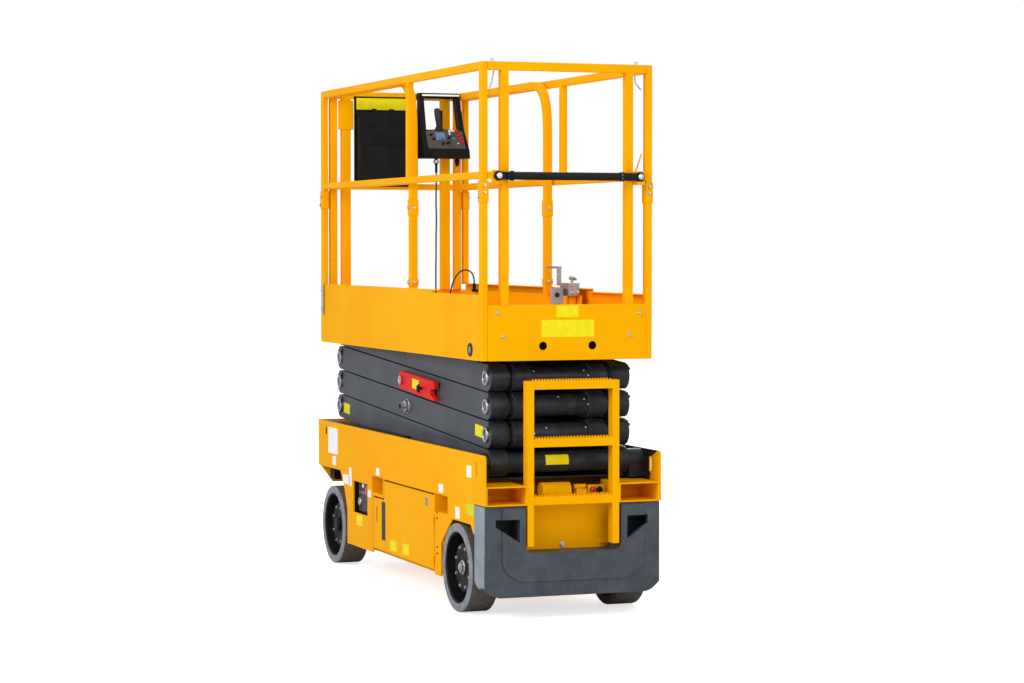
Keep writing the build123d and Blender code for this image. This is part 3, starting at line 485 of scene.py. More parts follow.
def round_along_x(piece, out, height, radius):
    """Rounds the edges that run along X at one corner, on both sides of the machine."""
    edit(piece)
    bpy.ops.mesh.select_mode(type="EDGE")
    bpy.ops.mesh.select_all(action="DESELECT")
    bpy.ops.object.mode_set(mode="OBJECT")
    mesh = piece.data
    for edge in mesh.edges:
        ends = [mesh.vertices[index].co / MM for index in edge.vertices]
        near = all(abs(abs(end.y) - out) < 2 and abs(end.z - height) < 2 for end in ends)
        edge.select = near and abs(ends[0].x - ends[1].x) > 5
    bpy.ops.object.mode_set(mode="EDIT")
    bpy.ops.mesh.bevel(offset=radius * MM, segments=6, affect="EDGES")
    bpy.ops.mesh.select_mode(type="VERT")
    bpy.ops.object.mode_set(mode="OBJECT")


def round_node(node):
    """A finished copy of a built piece: merged, flat faces cleaned, edges rounded."""
    source = frame["nodes"][node]
    piece = bpy.data.objects.new(f"{node}_finished", source.data.copy())
    bpy.context.collection.objects.link(piece)
    edit(piece)
    bpy.ops.mesh.remove_doubles(threshold=0.02 * MM)
    bpy.ops.mesh.dissolve_limited(angle_limit=math.radians(0.5))
    bpy.ops.object.mode_set(mode="OBJECT")
    bpy.ops.mesh.customdata_custom_splitnormals_clear()
    if node == "rear_bumper":
        for corner in BUMPER_CORNERS:
            round_along_x(piece, *corner)
    width = EDGES.get(node, plain_edge)
    soften(piece, width, 3 if width >= 4 else 2)
    finish_as(piece, SLOT_FINISH[slots[node]], source["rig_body"])
    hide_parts(node)
    built[node] = piece


for node in sorted(frame["nodes"]):
    if node != "control_cable":
        round_node(node)

# Patterns that are copied many times and taken away at the end

patterns = []


def pattern_of(piece):
    patterns.append(piece)
    return piece


def pattern(name, profile, sides=36):
    """A turned pattern, pointing up from the origin."""
    return pattern_of(turned(name, profile, sides))


def hex_bolt(flats, height, washer):
    """A hexagon head with chamfered corners on its washer."""
    # Half the flats over the cosine of 30 degrees
    corner = flats * 0.577
    seat = turned("washer", [(washer, 0), (washer, 1.4), (washer - 0.6, 2)], 28)
    head = turned("head", [(corner, 2), (corner, 1 + height), (corner - 1.2, 2 + height)], 6)
    return pattern_of(join("hex_bolt", [seat, head]))


big_bolt = hex_bolt(19, 8, 13)
small_bolt = hex_bolt(11, 5, 7.5)
screw_head = pattern("domed_screw", [(5, 0), (5, 1.25), (4, 2.5), (2.25, 3), (2, 1.5)], 24)

# Wheels: tyres and dished rims, spun about their axles

wheel_radius = 190.0
rear_axle_x = -887.0
front_axle_x = 952.0
hub_face = 375.0
bolt_circle = 88.0
bolt_count = 8
sidewall_inside = 398.5

# Outlines as radius and distance from the machine's middle
tyre_outline = [
    (154, 279), (156, 278), (183, 278), (186.5, 279), (189, 281.5), (190, 285), (190, 398), (189, 401.5),
    (186.5, 404), (183, 405), (179, 405), (178, 404.2), (166, 404.2), (165, 405), (157, 405), (154, 403),
]
rim_outline = [
    (20.5, 308), (139, 308), (145, 305), (148, 300), (148, 286), (150, 284), (154, 284), (154, 399),
    (151, 399), (148, 396), (148, 330), (145, 323), (139, 320), (112, 320), (108, 324), (106, 371),
    (102, hub_face), (66, hub_face), (63, 372), (42, 372), (39, hub_face), (3, hub_face), (3, 338),
    (20.5, 338),
]


def spun(name, outline, axle_x, sign, steps):
    """A ring spun about a wheel's axle from its outline."""
    deselect()
    bpy.ops.mesh.primitive_circle_add(vertices=len(outline), radius=1, fill_type="NOTHING")
    piece = settle(name)
    for vertex, (radius, out) in zip(piece.data.vertices, outline):
        vertex.co = Vector((axle_x, sign * out, wheel_radius + radius)) * MM
    edit(piece)
    bpy.ops.mesh.spin(steps=steps, angle=math.tau, center=(axle_x * MM, 0, wheel_radius * MM), axis=LEFT)
    return smooth(close_up(piece), 32)


def wheel(position, axle_x, side, sign):
    """One wheel: its tyre and rim instead of the built ones, and its ring of bolts."""
    body = f"wheel_{position}_{side}"
    tyre_node, rim_node = f"tyre_{position}_{side}", f"rim_{position}_{side}"
    tyre = finish_as(spun(f"{tyre_node}_spun", tyre_outline, axle_x, sign, 112), tyre_tread, body)
    recolour(tyre, tyre_side, lambda middle, normal: abs(middle.y) > sidewall_inside)
    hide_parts(tyre_node)
    rim = finish_as(spun(f"{rim_node}_spun", rim_outline, axle_x, sign, 72), rim_paint, body)
    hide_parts(rim_node)
    for node in (tyre_node, rim_node):
        discard(built.pop(node))
    ring = []
    for bolt in range(bolt_count):
        turn = math.tau * (bolt + 0.5) / bolt_count
        spot = (axle_x + bolt_circle * math.cos(turn), sign * hub_face,
                wheel_radius + bolt_circle * math.sin(turn))
        ring.append((spot, (0, sign, 0)))
    set_out(f"wheel_bolts_{position}_{side}", small_bolt, ring, zinc, body)


axle_nut = pattern_of(join("axle_nut", [
    turned("seat", [(31, 0), (31, 4), (29, 6)], 32),
    turned("hexagon", [(24, 6), (24, 14), (21, 16)], 6),
    turned("stud", [(12, 16), (12, 19), (10.5, 20)], 24),
]))
hub_cap = pattern("hub_cap", [(33, 0), (33, 9), (30, 14), (22, 17), (8, 18)])
for side, sign in SIDES:
    wheel("front", front_axle_x, side, sign)
    hub = [((front_axle_x, sign * (hub_face + 0.1), wheel_radius), (0, sign, 0))]
    set_out(f"hub_cap_{side}", hub_cap, hub, rim_paint, f"wheel_front_{side}")
for side, sign in SIDES:
    wheel("rear", rear_axle_x, side, sign)
    hub = [((rear_axle_x, sign * (hub_face + 0.1), wheel_radius), (0, sign, 0))]
    set_out(f"axle_nut_{side}", axle_nut, hub, zinc, f"wheel_rear_{side}")

# Scissor arms: black tubes, end noses darkened with painted shade, pin caps with their keepers, collars,
# stickers

rest_pitch = 120.5
lowest_pin = 645.0
arm_length = 2137.0
rear_pin_x = -1020.0
arm_face = 316.0
inner_arm_inside = 134.0
outer_arm_inside = 236.0
tube_radius = 45.0
rest_angle = math.asin(rest_pitch / arm_length)
arm_tilt = math.degrees(rest_angle)
front_pin_x = rear_pin_x + arm_length * math.cos(rest_angle)
middle_x = (rear_pin_x + front_pin_x) / 2
pin_row = [lowest_pin + rest_pitch * level for level in range(5)]


def near_middle(x):
    return abs(x - middle_x) < 60


for level in range(1, 5):
    inner, outer = built[f"inner_arms_{level}"], built[f"outer_arms_{level}"]
    for piece, inside in ((inner, inner_arm_inside - 0.6), (outer, outer_arm_inside - 0.6)):
        # The cross tubes and sleeves are black enamel; the arms' rear and front end faces take it too as
        # painted shade, since those grey-painted noses only look black in shade
        recolour(piece, tube_enamel_and_painted_shade, lambda middle, normal: abs(middle.y) < inside or (
            middle.x < -1000 and normal.x < -0.25) or (middle.x > 1095 and normal.x > 0.25))
    plain_middle = level in (1, 4)
    for piece in (inner, outer):
        recolour(piece, zinc, lambda middle, normal: abs(middle.y) > arm_face + 0.4 and not (
            plain_middle and near_middle(middle.x)))
    if plain_middle:
        # These two have no cap at their middle, so the built one is pressed nearly flat
        for vertex in outer.data.vertices:
            beyond = abs(vertex.co.y) - arm_face * MM
            if beyond > 0 and near_middle(vertex.co.x / MM):
                vertex.co.y -= math.copysign(beyond * 0.93, vertex.co.y)

pin_cap = pattern("pin_cap", [(32, 0), (32, 9), (30.5, 10.5), (23.5, 10.5), (22, 9), (22, 6.2), (10, 6.2),
                              (9, 7), (4, 7)], 40)
collar = pattern("collar", [(47, 0), (47, 7), (45, 9), (38, 9), (38, 17), (44, 17), (46, 19), (46, 24)], 40)
keeper = pattern_of(join("keeper", [
    block("keeper_plate", (-9, 9), (-14, 14), (0, 4), 1.2),
    put(small_bolt, (0, -4, 4)),
]))


def cap_centre(middle, normal):
    return 322 < abs(middle.y) < 324.5 and abs(normal.y) > 0.9


for level in range(1, 5):
    rear_end, front_end = (rear_pin_x, pin_row[level - 1]), (front_pin_x, pin_row[level])
    ends = [rear_end] * (level > 1) + [front_end] * (level < 4)
    body = f"outer_arms_{level}"
    caps, keepers = [], []
    if level in (2, 3):
        # On the left the safety prop and the rest stub stand here
        caps.append(((middle_x, -arm_face - 0.2, (rear_end[1] + front_end[1]) / 2), (0, -1, 0)))
    for x, z in ends:
        for side, sign in SIDES:
            caps.append(((x, sign * (arm_face + 0.2), z), (0, sign, 0)))
            keepers.append(((x - 30, sign * (arm_face + 0.3), z + 34), (0, sign, 0), 40 * sign))
    cap_row = set_out(f"pin_caps_{level}", pin_cap, caps, zinc, body)
    recolour(cap_row, pin_centre, cap_centre)
    set_out(f"pin_keepers_{level}", keeper, keepers, tube_enamel_and_painted_shade, body)
    if level > 1:
        rings = [((x, sign * 210, z), (0, sign, 0)) for x, z in (rear_end, front_end) for side, sign in SIDES]
        set_out(f"arm_collars_{level}", collar, rings, tube_enamel_and_painted_shade, body)


def on_tube(y, z, centre):
    """A bolt's place and direction on the rear of a cross tube."""
    rise = (z - centre) / tube_radius
    out = Vector((-math.sqrt(1 - rise * rise), 0, rise))
    spot = Vector((rear_pin_x, y, centre)) + out * (tube_radius - 0.4)
    return (tuple(spot), tuple(out))


# Bolts on the rear tubes, as place from left to right and height
tube_bolts = {
    1: [(60, 792), (-121, 790), (118, 770)],
    2: [(2, 922), (-113, 911), (-130, 888)],
    3: [(118, 1034), (-111, 1034), (-130, 1012)],
    4: [(120, 1150), (-118, 1148), (-128, 1128)],
}
for level, spots in tube_bolts.items():
    set_out(f"tube_bolts_{level}", screw_head, [on_tube(y, z, pin_row[level]) for y, z in spots], zinc,
            f"inner_arms_{level}")
for side, sign in SIDES:
    for end, x, z, body in (("rear", -925, 776, "outer_arms_2"), ("front", 1010, 757, "outer_arms_1")):
        label(f"{end}_arm_label_{side}", 100, 50, (x, sign * arm_face, z), (0, sign, 0), yellow_label, body,
              arm_tilt * -sign)

# The yellow sticker that follows the lowest rear tube
deselect()
bpy.ops.mesh.primitive_grid_add(x_subdivisions=2, y_subdivisions=12, size=1)
tube_label = settle("tube_label")
for vertex in tube_label.data.vertices:
    turn = vertex.co.y * 0.98 + 0.25
    around = Vector((-math.cos(turn), 0, math.sin(turn))) * (tube_radius + 0.1)
    vertex.co = (Vector((rear_pin_x, 12 - vertex.co.x * 105, lowest_pin)) + around) * MM
take(tube_label)
wall = tube_label.modifiers.new("thickness", "SOLIDIFY")
wall.thickness = 0.5 * MM
wall.offset = 0
bpy.ops.object.modifier_apply(modifier="thickness")
edit(tube_label)
close_up(tube_label)
finish_as(smooth(tube_label), yellow_label, "outer_arms_1")

# Safety prop's pin, sticker and star knob, and the threaded rest stub below it

prop_face = 346.0
prop_z = (pin_row[2] + pin_row[3]) / 2
prop_pin = pattern("prop_pin", [(21, 0), (21, 4), (19, 5.5), (14, 5.5), (13, 4), (5, 4)])
set_out("prop_pivot_pin", prop_pin, [((middle_x, 352.2, prop_z), LEFT)], zinc, "outer_arms_3")
label("prop_label", 92, 44, (-156, prop_face, 937), LEFT, yellow_label, "outer_arms_3",
      -arm_tilt)
star = pattern("star_knob", [(6, 0), (6, 12), (19, 13), (21, 17), (19, 22), (8, 24)], 24)
for vertex in star.data.vertices:
    if vertex.co.xy.length > 15 * MM:
        lobe = 0.72 + 0.28 * math.cos(5 * math.atan2(vertex.co.y, vertex.co.x))
        vertex.co.x *= lobe
        vertex.co.y *= lobe
set_out("prop_star_knob", star, [((-249, prop_face, 923), LEFT)], black_moulding, "outer_arms_3")

stub_z = (pin_row[1] + pin_row[2]) / 2
thread_pitch = 2.2
thread_steps = []
for turn in range(13):
    thread_steps += [(17.6, thread_pitch * turn + 0.8), (16.2, thread_pitch * turn + 2.0)]
thread = pattern("thread", [(16.5, 0)] + thread_steps + [(15, 30.5)], 28)
stub_nut = pattern_of(join("stub_nut", [
    turned("plate", [(34, 0), (34, 3), (33, 4)]),
    turned("nut", [(29, 4), (29, 15), (26, 17)], 6),
]))
stub = [put(thread, (middle_x, 323.5, stub_z), LEFT), put(stub_nut, (middle_x, arm_face + 0.2, stub_z), LEFT)]
finish_as(join("rest_stub_nut", stub), zinc, "outer_arms_2")

# Body sides: stickers, vent, latch and hinge screws

body_face = 400.0

# Each sticker's name, width, height, x and z, and its material
both_sides = [
    ("white_a", 105, 46, 747, 430, white_label), ("white_c", 55, 34, 241, 507, white_label),
    ("white_k", 58, 38, -666, 510, white_label), ("white_m", 55, 50, -885, 425, white_label),
    ("white_o", 60, 50, -1031, 614, white_label), ("yellow_e", 92, 50, 531, 251, yellow_label),
    ("yellow_g", 92, 50, 5, 186, yellow_label), ("yellow_h", 92, 50, -178, 189, yellow_label),
    ("grey_j", 32, 36, -471, 433, grey_label), ("green_n", 88, 46, -1046, 452, green_label),
]
left_only = [
    ("plate", 160, 128, 972, 602, white_label), ("under", 60, 44, 952, 505, white_label),
    ("white_b", 42, 90, 681, 447, white_label), ("white_d", 50, 34, 374, 393, white_label),
]
on_the_door = ("yellow_g", "yellow_h", "grey_j")
for side, sign in SIDES:
    out = (0, sign, 0)
    door = f"door_{side}"
    for name, width, height, x, z, material in both_sides + (left_only if side == "left" else []):
        label(f"{name}_label_{side}", width, height, (x, sign * body_face, z), out, material,
              door if name in on_the_door else "chassis")
    plate = block("vent_plate", (127, 179), (sign * 399.8, sign * 400.9), (196, 375), 0.4)
    fin = block("fin", (131, 175), (sign * 400.8, sign * 403.4), (203, 207), 0.8)
    vent = join(f"door_vent_{side}", [plate, row_of(fin, 21, (0, 0, 8))])
    finish_as(vent, vent_grey, door)
    latch = block(f"door_latch_{side}", (252, 263), (sign * 393, sign * 399), (271, 346), 2)
    finish_as(latch, black_moulding, door)
    door_screws = [((172, sign * body_face, z), out) for z in (378, 190)]
    set_out(f"door_screws_{side}", screw_head, door_screws, zinc, door)
    hinge_screws = [((-618, sign * body_face, z), out) for z in (401, 375, 249, 220)]
    set_out(f"hinge_screws_{side}", screw_head, hinge_screws, axle_paint, "chassis")

# Ground controls in the left recess

panel_face = 373.0
recolour(built["ground_controls"], panel_grey, lambda middle, normal: middle.x > 455)
panel = block("ground_panel", (407, 631), (340.2, panel_face), (287, 430), 3)
finish_as(panel, panel_grey, "chassis")
mushroom = pattern("stop_button", [(13, -2), (13, 8), (20, 10), (26, 15), (25.5, 20), (18, 24), (7, 25.5)])
set_out("ground_stop_button", mushroom, [((437.5, panel_face, 399), LEFT)], red_plastic, "chassis")
bezel = pattern("bezel", [(20, -1), (20, 9), (18, 12), (12, 12), (11, 10), (3, 10)], 32)
set_out("key_switch_bezel", bezel, [((586, panel_face, 336), LEFT)], zinc, "chassis")
lever_ring = pattern("lever_ring", [(9, -1), (9, 3), (7.5, 4), (3, 4)], 20)
lever = pattern("lever", [(4.5, 0), (4.5, 6), (2.6, 7), (3.4, 20), (2.6, 22)], 16)
switches = [(x, panel_face, 381) for x in (470, 508, 546)]
set_out("ground_lever_rings", lever_ring, [(place, LEFT) for place in switches], zinc, "chassis")
set_out("ground_levers", lever, [(place, (0.2, 1, 0.3)) for place in switches], zinc, "chassis")
for name, width, height, x, z in (("low", 74, 26, 452, 312), ("high", 30, 18, 560, 414)):
    label(f"ground_white_label_{name}", width, height, (x, panel_face, z), LEFT, white_label, "chassis")

# Ladder: teeth along the top of each rung, at its rear and front edge

rung_tops = (1000, 758, 515)
tooth_pitch = 13.48
teeth = []
for top in rung_tops:
    tooth = block("tooth", (-1219, -1215), (-172, -165.5), (top - 0.5, top + 6.5), 1.0)
    teeth.append(row_of(tooth, 26, (0, tooth_pitch, 0), (2, (41, 0, 0))))
finish_as(join("rung_teeth", teeth), yellow_paint, "chassis")

# Rear end plate, bumper, pump and the tray under the arms, with painted shade on the deck and tray

end_plate_face = -1099.0
set_out("rear_plate_bolt", big_bolt, [((end_plate_face, 3, 296), BACK)], zinc, "chassis")
flap = block("rear_plate_flap", (-1118, end_plate_face - 0.2), (-205, -168), (298, 303), 1.2)
finish_as(flap, yellow_paint, "chassis")


def bumper_flank(middle, normal):
    return abs(normal.y) > 0.7 and abs(middle.y) > 340


# Painted shade: the inward and rearward upright faces of the tray above the deck turn black, where shadow
# falls inside it
def painted_shade_tray_inside(middle, normal):
    upright = middle.z > 560 and middle.x > -1070 and abs(normal.z) < 0.5
    return upright and (middle.y * normal.y < -1 or normal.x < -0.5)


# Painted light: both flanks of the bumper take the lighter copy of its polyethylene
recolour(built["rear_bumper"], bumper_painted_light_skin, bumper_flank)
# Painted shade: the whole upper deck, yellow like the body, takes the black enamel to stand for the shadow
# under the arms
recolour(built["upper_deck"], tube_enamel_and_painted_shade, everywhere)
recolour(built["gate_bar"], rim_paint, everywhere)
# Painted shade on the inner faces of the nose box and side plates
for node in ("nose_box", "side_plate_left", "side_plate_right"):
    recolour(built[node], tube_enamel_and_painted_shade, painted_shade_tray_inside)
# Painted shade: a dark sheet behind each side of the bumper, so that the view through its windows falls into
# shadow
for side, sign in SIDES:
    shade_sheet = block(f"bumper_shade_sheet_{side}", (-1104, -1099.3), (sign * 222, sign * 388), (292, 440), 1)
    finish_as(shade_sheet, tube_enamel_and_painted_shade, "chassis")
bracket = block("pump_bracket", (-1090, -1084), (-194, -118), (474, 546), 2)
finish_as(bracket, yellow_paint, "chassis")
valve_knob = pattern("knob", [(5, 0), (5, 6), (13, 8), (15, 13), (13, 19), (5, 21)], 28)
for name, y, finish in (("valve", -136, red_plastic), ("valve_cap", -166, black_moulding)):
    set_out(f"pump_{name}_knob", valve_knob, [((-1090, y, 524), BACK)], finish, "chassis")

# Rear of the platform and its skirts

rear_face = -1154.0
skirt_face = 386.5
for name, width, height, y, z in (("high", 100, 50, 2, 1289), ("low", 238, 72, 0, 1217)):
    label(f"rear_panel_label_{name}", width, height, (rear_face, y, z), BACK, yellow_label, "platform")
panel_bolts = ((319, 1284), (292, 1184), (-331, 1278), (-284, 1184))
set_out("rear_panel_bolts", small_bolt, [((rear_face, y, z), BACK) for y, z in panel_bolts], zinc, "platform")
grommet = pattern("grommet", [(29, 0), (29, 2.5), (27, 4.5), (18, 4.5), (16, 3)])
grommet_disc = pattern("grommet_disc", [(15, 3.2), (15, 4.2), (14, 4.6)], 28)
for side, sign in SIDES:
    spot = [((-1012, sign * skirt_face, 1127), (0, sign, 0))]
    set_out(f"skirt_grommet_{side}", grommet, spot, axle_paint, "platform")
    set_out(f"skirt_grommet_disc_{side}", grommet_disc, spot, grey_label, "platform")
manual_tube = bar("manual_tube", (1162, skirt_face + 7, 1222), (1162, skirt_face + 7, 1372), 8, 1.5)
finish_as(manual_tube, zinc, "platform")
clamps = row_of(block("manual_tube_clamps", (1150, 1174), (386.4, 402), (1240, 1252), 2), 2, (0, 0, 96))
finish_as(clamps, zinc, "platform")

# Fold brackets: a sleeve around each post where the upper rail folds down, with its bolts

post_outside = 389.5
post_inside = 356.0
fold_height = (1747, 1835)


def sleeve(name, x, y, z, body, bolts):
    """A bent plate around a post, with small bolts on it."""
    finish_as(block(name, x, y, z, 2.5), yellow_paint, body)
    set_out(f"{name}_bolts", small_bolt, bolts, zinc, body)


for side, sign in SIDES:
    out = (0, sign, 0)
    across = (sign * post_inside, sign * post_outside)
    sleeve(f"rear_fold_bracket_{side}", (-1157, -1111), across, fold_height, "platform",
           [((-1157, sign * 372, 1817), BACK), ((-1157, sign * 372, 1789), BACK),
            ((-1134, sign * post_outside, 1768), out)])
    sleeve(f"front_fold_bracket_{side}", (1176, 1222), across, fold_height, "platform",
           [((1192, sign * post_outside, 1806), out), ((1207, sign * post_outside, 1766), out)])
    for name, low, high in (("high", 1700, 1775), ("low", 1385, 1412)):
        middle = (low + high) / 2
        sleeve(f"extension_fold_bracket_{side}_{name}", (-93, -52), (sign * 308, sign * 349), (low, high),
               "extension", [((-93, sign * 328, middle), BACK), ((-72, sign * 349, middle), out)])

# Locking pins on the top rail, their chains, and the gate's thin rod

rail_top = 2333
lock_pin = pattern("lock_pin", [(7, 0), (7, 3), (4, 4), (4, 8), (9, 9), (9, 12), (7, 13)], 20)
set_out("top_rail_pins", lock_pin, [((-1134, y, rail_top), UP) for y in (333, -318)], zinc, "platform")

link_pitch = 7.6
deselect()
bpy.ops.mesh.primitive_torus_add(major_radius=3.6 * MM, minor_radius=1.1 * MM, major_segments=12,
                                 minor_segments=6)
chain_link = pattern_of(settle("link"))
for vertex in chain_link.data.vertices:
    vertex.co.x += math.copysign(2.2 * MM, vertex.co.x)
chain_link.data.transform(Matrix.Rotation(math.pi / 2, 4, "Y"))


def chain(name, stops):
    """Links along straight runs between points, each turned across the one before."""
    links = []
    for start, end in zip(stops, stops[1:]):
        start, run = Vector(start), Vector(end) - Vector(start)
        count = round(run.length / link_pitch)
        for step in range(count):
            links.append((tuple(start + run * (step + 0.5) / count), tuple(run), 90 * len(links)))
    set_out(name, chain_link, links, zinc, "platform")


chain("pin_chain_left", [(-1134, 326, 2298), (-1134, 331, 2262), (-1134, 347, 2209)])
chain("pin_chain_right", [(-1140, -310, 2298), (-1140, -312, 2258), (-1140, -340, 2226)])
stay = bar("gate_stay", (-1140, -314, 1876), (-1140, -342, 1956), 3.5)
finish_as(stay, yellow_paint, "platform")

# Gate bar's pins, end sleeve and ring

gate_x, gate_z = -1177, 1857
gate_pin = pattern("gate_pin", [(13, -1), (13, 2), (11, 4), (4, 4.6)], 28)
set_out("gate_pins", gate_pin, [((-1190, y, gate_z), BACK) for y in (320, -320)], zinc, "gate")
gate_ring = pattern("gate_ring", [(20, 0), (20, 5), (15, 5)], 32)
set_out("gate_bar_ring", gate_ring, [((gate_x, -234, gate_z), LEFT)], zinc, "gate")
gate_sleeve = pattern("gate_sleeve", [(21, 0), (21, 14), (18, 14)], 32)
set_out("gate_bar_sleeve", gate_sleeve, [((gate_x, 254, gate_z), LEFT)], black_moulding, "gate")

# Upper control panel: its slope, decals, buttons, joystick grip and glands

panel_low, panel_high = (985.0, 2040.0), (1043.0, 2145.0)
panel_slope = (panel_high[0] - panel_low[0]) / (panel_high[1] - panel_low[1])
panel_out = Vector((-1, 0, panel_slope)).normalized()


def on_panel(y, z, lift=0.0):
    """A point on the sloping panel, lifted off it by a few millimetres."""
    return tuple(Vector((panel_low[0] + (z - panel_low[1]) * panel_slope, y, z)) + panel_out * lift)


def panel_label(name, width, height, y, z, lift, material, corner):
    """A sticker on the sloping panel."""
    label(name, width, height, on_panel(y, z, lift), panel_out, material, "extension",
          0, corner)


panel_label("control_panel_plate", 196, 104, -204, 2094, 0.2, panel_grey, 6)
panel_label("control_pad", 48, 44, -180, 2110, 0.7, blue_label, 3)
panel_label("control_mark_wide", 34, 7, -242, 2139, 0.7, white_label, 1.5)
panel_label("control_mark_tall", 7, 16, -231, 2126, 0.7, white_label, 1.5)
panel_label("control_mark_small", 9, 7, -288, 2084, 0.7, white_label, 1.5)
panel_label("control_mark_spot", 8, 6, -268, 2076, 0.7, white_label, 1.5)
button = pattern("push", [(9.5, 0), (9.5, 3), (8.5, 4), (7.5, 4), (7.5, 7), (6.5, 8.5)], 24)
red_places = ((-273, 2136), (-278, 2118), (-283, 2100), (-288, 2082))
set_out("control_red_buttons", button, [(on_panel(y, z), panel_out) for y, z in red_places], red_plastic,
        "extension")
set_out("control_green_button", button, [(on_panel(-247, 2097), panel_out)], green_plastic, "extension")
pad_knob = pattern("pad_knob", [(14, 0), (14, 4), (11, 9), (9, 13), (5, 14)], 28)
set_out("control_pad_knob", pad_knob, [(on_panel(-182, 2098), panel_out)], teal_plastic, "extension")
toggle = pattern("toggle", [(7, 0), (7, 3), (3.4, 4), (2.6, 8), (3.8, 20), (2.8, 23)], 16)
toggle_places = ((-129, 2117), (-139, 2096), (-213, 2076), (-186, 2072), (-222, 2104))
toggle_lean = panel_out + Vector((0, -0.2, -0.25))
set_out("control_toggles", toggle, [(on_panel(y, z), toggle_lean) for y, z in toggle_places], black_moulding,
        "extension")
boot = pattern("boot", [(24, 0), (24, 3), (19, 7), (20, 10), (15, 14), (16, 17), (11, 21)], 28)
set_out("joystick_boot", boot, [((1055, -184, 2146), (0, 0.1, 1))], cable_sheath, "extension")
grip = pattern("grip", [(11, 0), (14, 8), (15.5, 40), (15.5, 78), (13, 90), (7, 94)], 28)
set_out("joystick_grip", grip, [((1054, -184, 2160), (-0.04, 0.16, 1))], cable_sheath, "extension")
# Painted highlight: a thin white strip along the top edge, where the rail's sheen falls
label("control_bar_painted_highlight", 196, 9, (1066, -196, 2318), (-1, 0, 0.35), white_label, "extension",
      0, 1)
gland_end = pattern("gland_end", [(11, 0), (11, 8), (13, 9), (13, 20), (11, 22), (9, 36), (6, 40)], 24)
set_out("control_spare_gland", gland_end, [((1045, -276, 2002), DOWN)], black_moulding, "extension")
clamp_ring = pattern("clamp_ring", [(14, 0), (14, 9), (16, 10), (16, 15), (13, 16)], 24)
set_out("control_gland_clamp", clamp_ring, [((1045, -165, 1993), DOWN)], zinc, "extension")

# Document box: its lid's raised frame, three clips and the label on the plate above

box_face = 1117.0
lid = block("document_lid", (box_face - 4, box_face + 0.5), (-84, 203), (2068, 2222), 3)
inset = block("document_inset", (box_face - 7, box_face - 3.5), (-42, 158), (2092, 2164), 2)
finish_as(join("document_lid_frame", [lid, inset]), black_moulding, "extension")
clips = row_of(block("document_clips", (1122, 1140), (-62, -38), (2228, 2248), 3), 3, (0, 92, 0))
finish_as(clips, black_moulding, "extension")
label("document_plate_label", 298, 58, (1174, 64, 2274), BACK, yellow_label, "extension")

# Deck latch and outlet beside it


def outlet_box(middle, normal):
    return -281 < middle.y < -226 and middle.z < 1374


def latch_post(middle, normal):
    return middle.z < 1336 and middle.y < -305


recolour(built["latch_and_outlet"], outlet_grey, outlet_box)
recolour(built["latch_and_outlet"], yellow_paint, latch_post)
outlet_hole = pattern("socket", [(11, 0), (11, 2.5), (9, 3.5), (6, 2), (3, 2)], 24)
set_out("outlet_socket", outlet_hole, [((-404, -246, 1342), BACK)], axle_paint, "platform")
set_out("latch_star_knob", star, [((-372, -330, 1400), (0.3, -0.4, 1))], pedal_metal, "platform")
latch_bolts = ((-296, 1352), (-312, 1352), (-328, 1354))
set_out("latch_bolts", small_bolt, [((-448, y, z), BACK) for y, z in latch_bolts], zinc, "platform")

# Checker plate: raised lozenges in two directions

lozenge_pitch = 40
deselect()
bpy.ops.mesh.primitive_cone_add(vertices=4, radius1=1, radius2=0.72, depth=1)
lozenge = pattern_of(settle("lozenge"))
for vertex in lozenge.data.vertices:
    vertex.co = Vector((vertex.co.x * 13, vertex.co.y * 3.6, (vertex.co.z + 0.5) * 1.5)) * MM


def checker(name, x, y, floor_top, body):
    """Lozenges over a floor, every second one turned across."""
    rows = []
    for turn, shift in ((45, 0), (-45, lozenge_pitch / 2)):
        one = put(lozenge, (0, 0, 0))
        corner = Vector((x[0] + 20 + shift, y[0] + 20, floor_top - 0.2)) * MM
        one.data.transform(Matrix.Translation(corner) @ Matrix.Rotation(math.radians(turn), 4, "Z"))
        along = int((x[1] - x[0] - 30 - shift) // lozenge_pitch)
        across = int((y[1] - y[0] - 30) // lozenge_pitch)
        rows.append(row_of(one, along, (lozenge_pitch, 0, 0), (across, (0, lozenge_pitch, 0))))
    finish_as(join(name, rows), yellow_paint, body)


checker("extension_checker", (-430, 1190), (-325, 325), 1212, "extension")
checker("rear_deck_checker", (-1110, -470), (-345, 345), 1200, "platform")

for piece in patterns:
    discard(piece)

# Control cable

cable_radius = 4.0
gland = (1045.0, -165.0, 2000.0)
socket = (930.0, -326.0, 1352.0)
route = [
    (gland[0], gland[1], gland[2] - 70),
    (gland[0], gland[1], 1860),
    (gland[0] - 6, gland[1] + 4, 1780),
    (gland[0] - 9, gland[1] + 2, 1700),
    (gland[0] - 10, gland[1] + 5, 1615),
    (gland[0] - 8, gland[1] + 4, 1530),
    (gland[0] - 12, gland[1] + 7, 1445),
    (gland[0] - 10, gland[1] + 6, 1365),
    (gland[0] - 14, gland[1] + 8, 1290),
    (gland[0] - 24, gland[1] + 4, 1232),
    (gland[0] - 54, gland[1] - 12, 1217),
    (gland[0] - 84, gland[1] - 22, 1232),
    (gland[0] - 104, gland[1] - 32, 1300),
    (gland[0] - 112, gland[1] - 48, 1385),
    (gland[0] - 118, gland[1] - 84, 1440),
    (gland[0] - 124, gland[1] - 130, 1443),
    (socket[0], socket[1], 1412),
    (socket[0], socket[1], socket[2] + 22),
]
line = bpy.data.curves.new("upper_control_cable", "CURVE")
line.dimensions = "3D"
line.bevel_depth = 1.0
line.bevel_resolution = 5
line.resolution_u = 12
line.use_fill_caps = True
spline = line.splines.new("NURBS")
spline.points.add(len(route) - 1)
for point, place in zip(spline.points, route):
    point.co = [value * MM for value in place] + [1.0]
    point.radius = cable_radius * MM
spline.order_u = 3
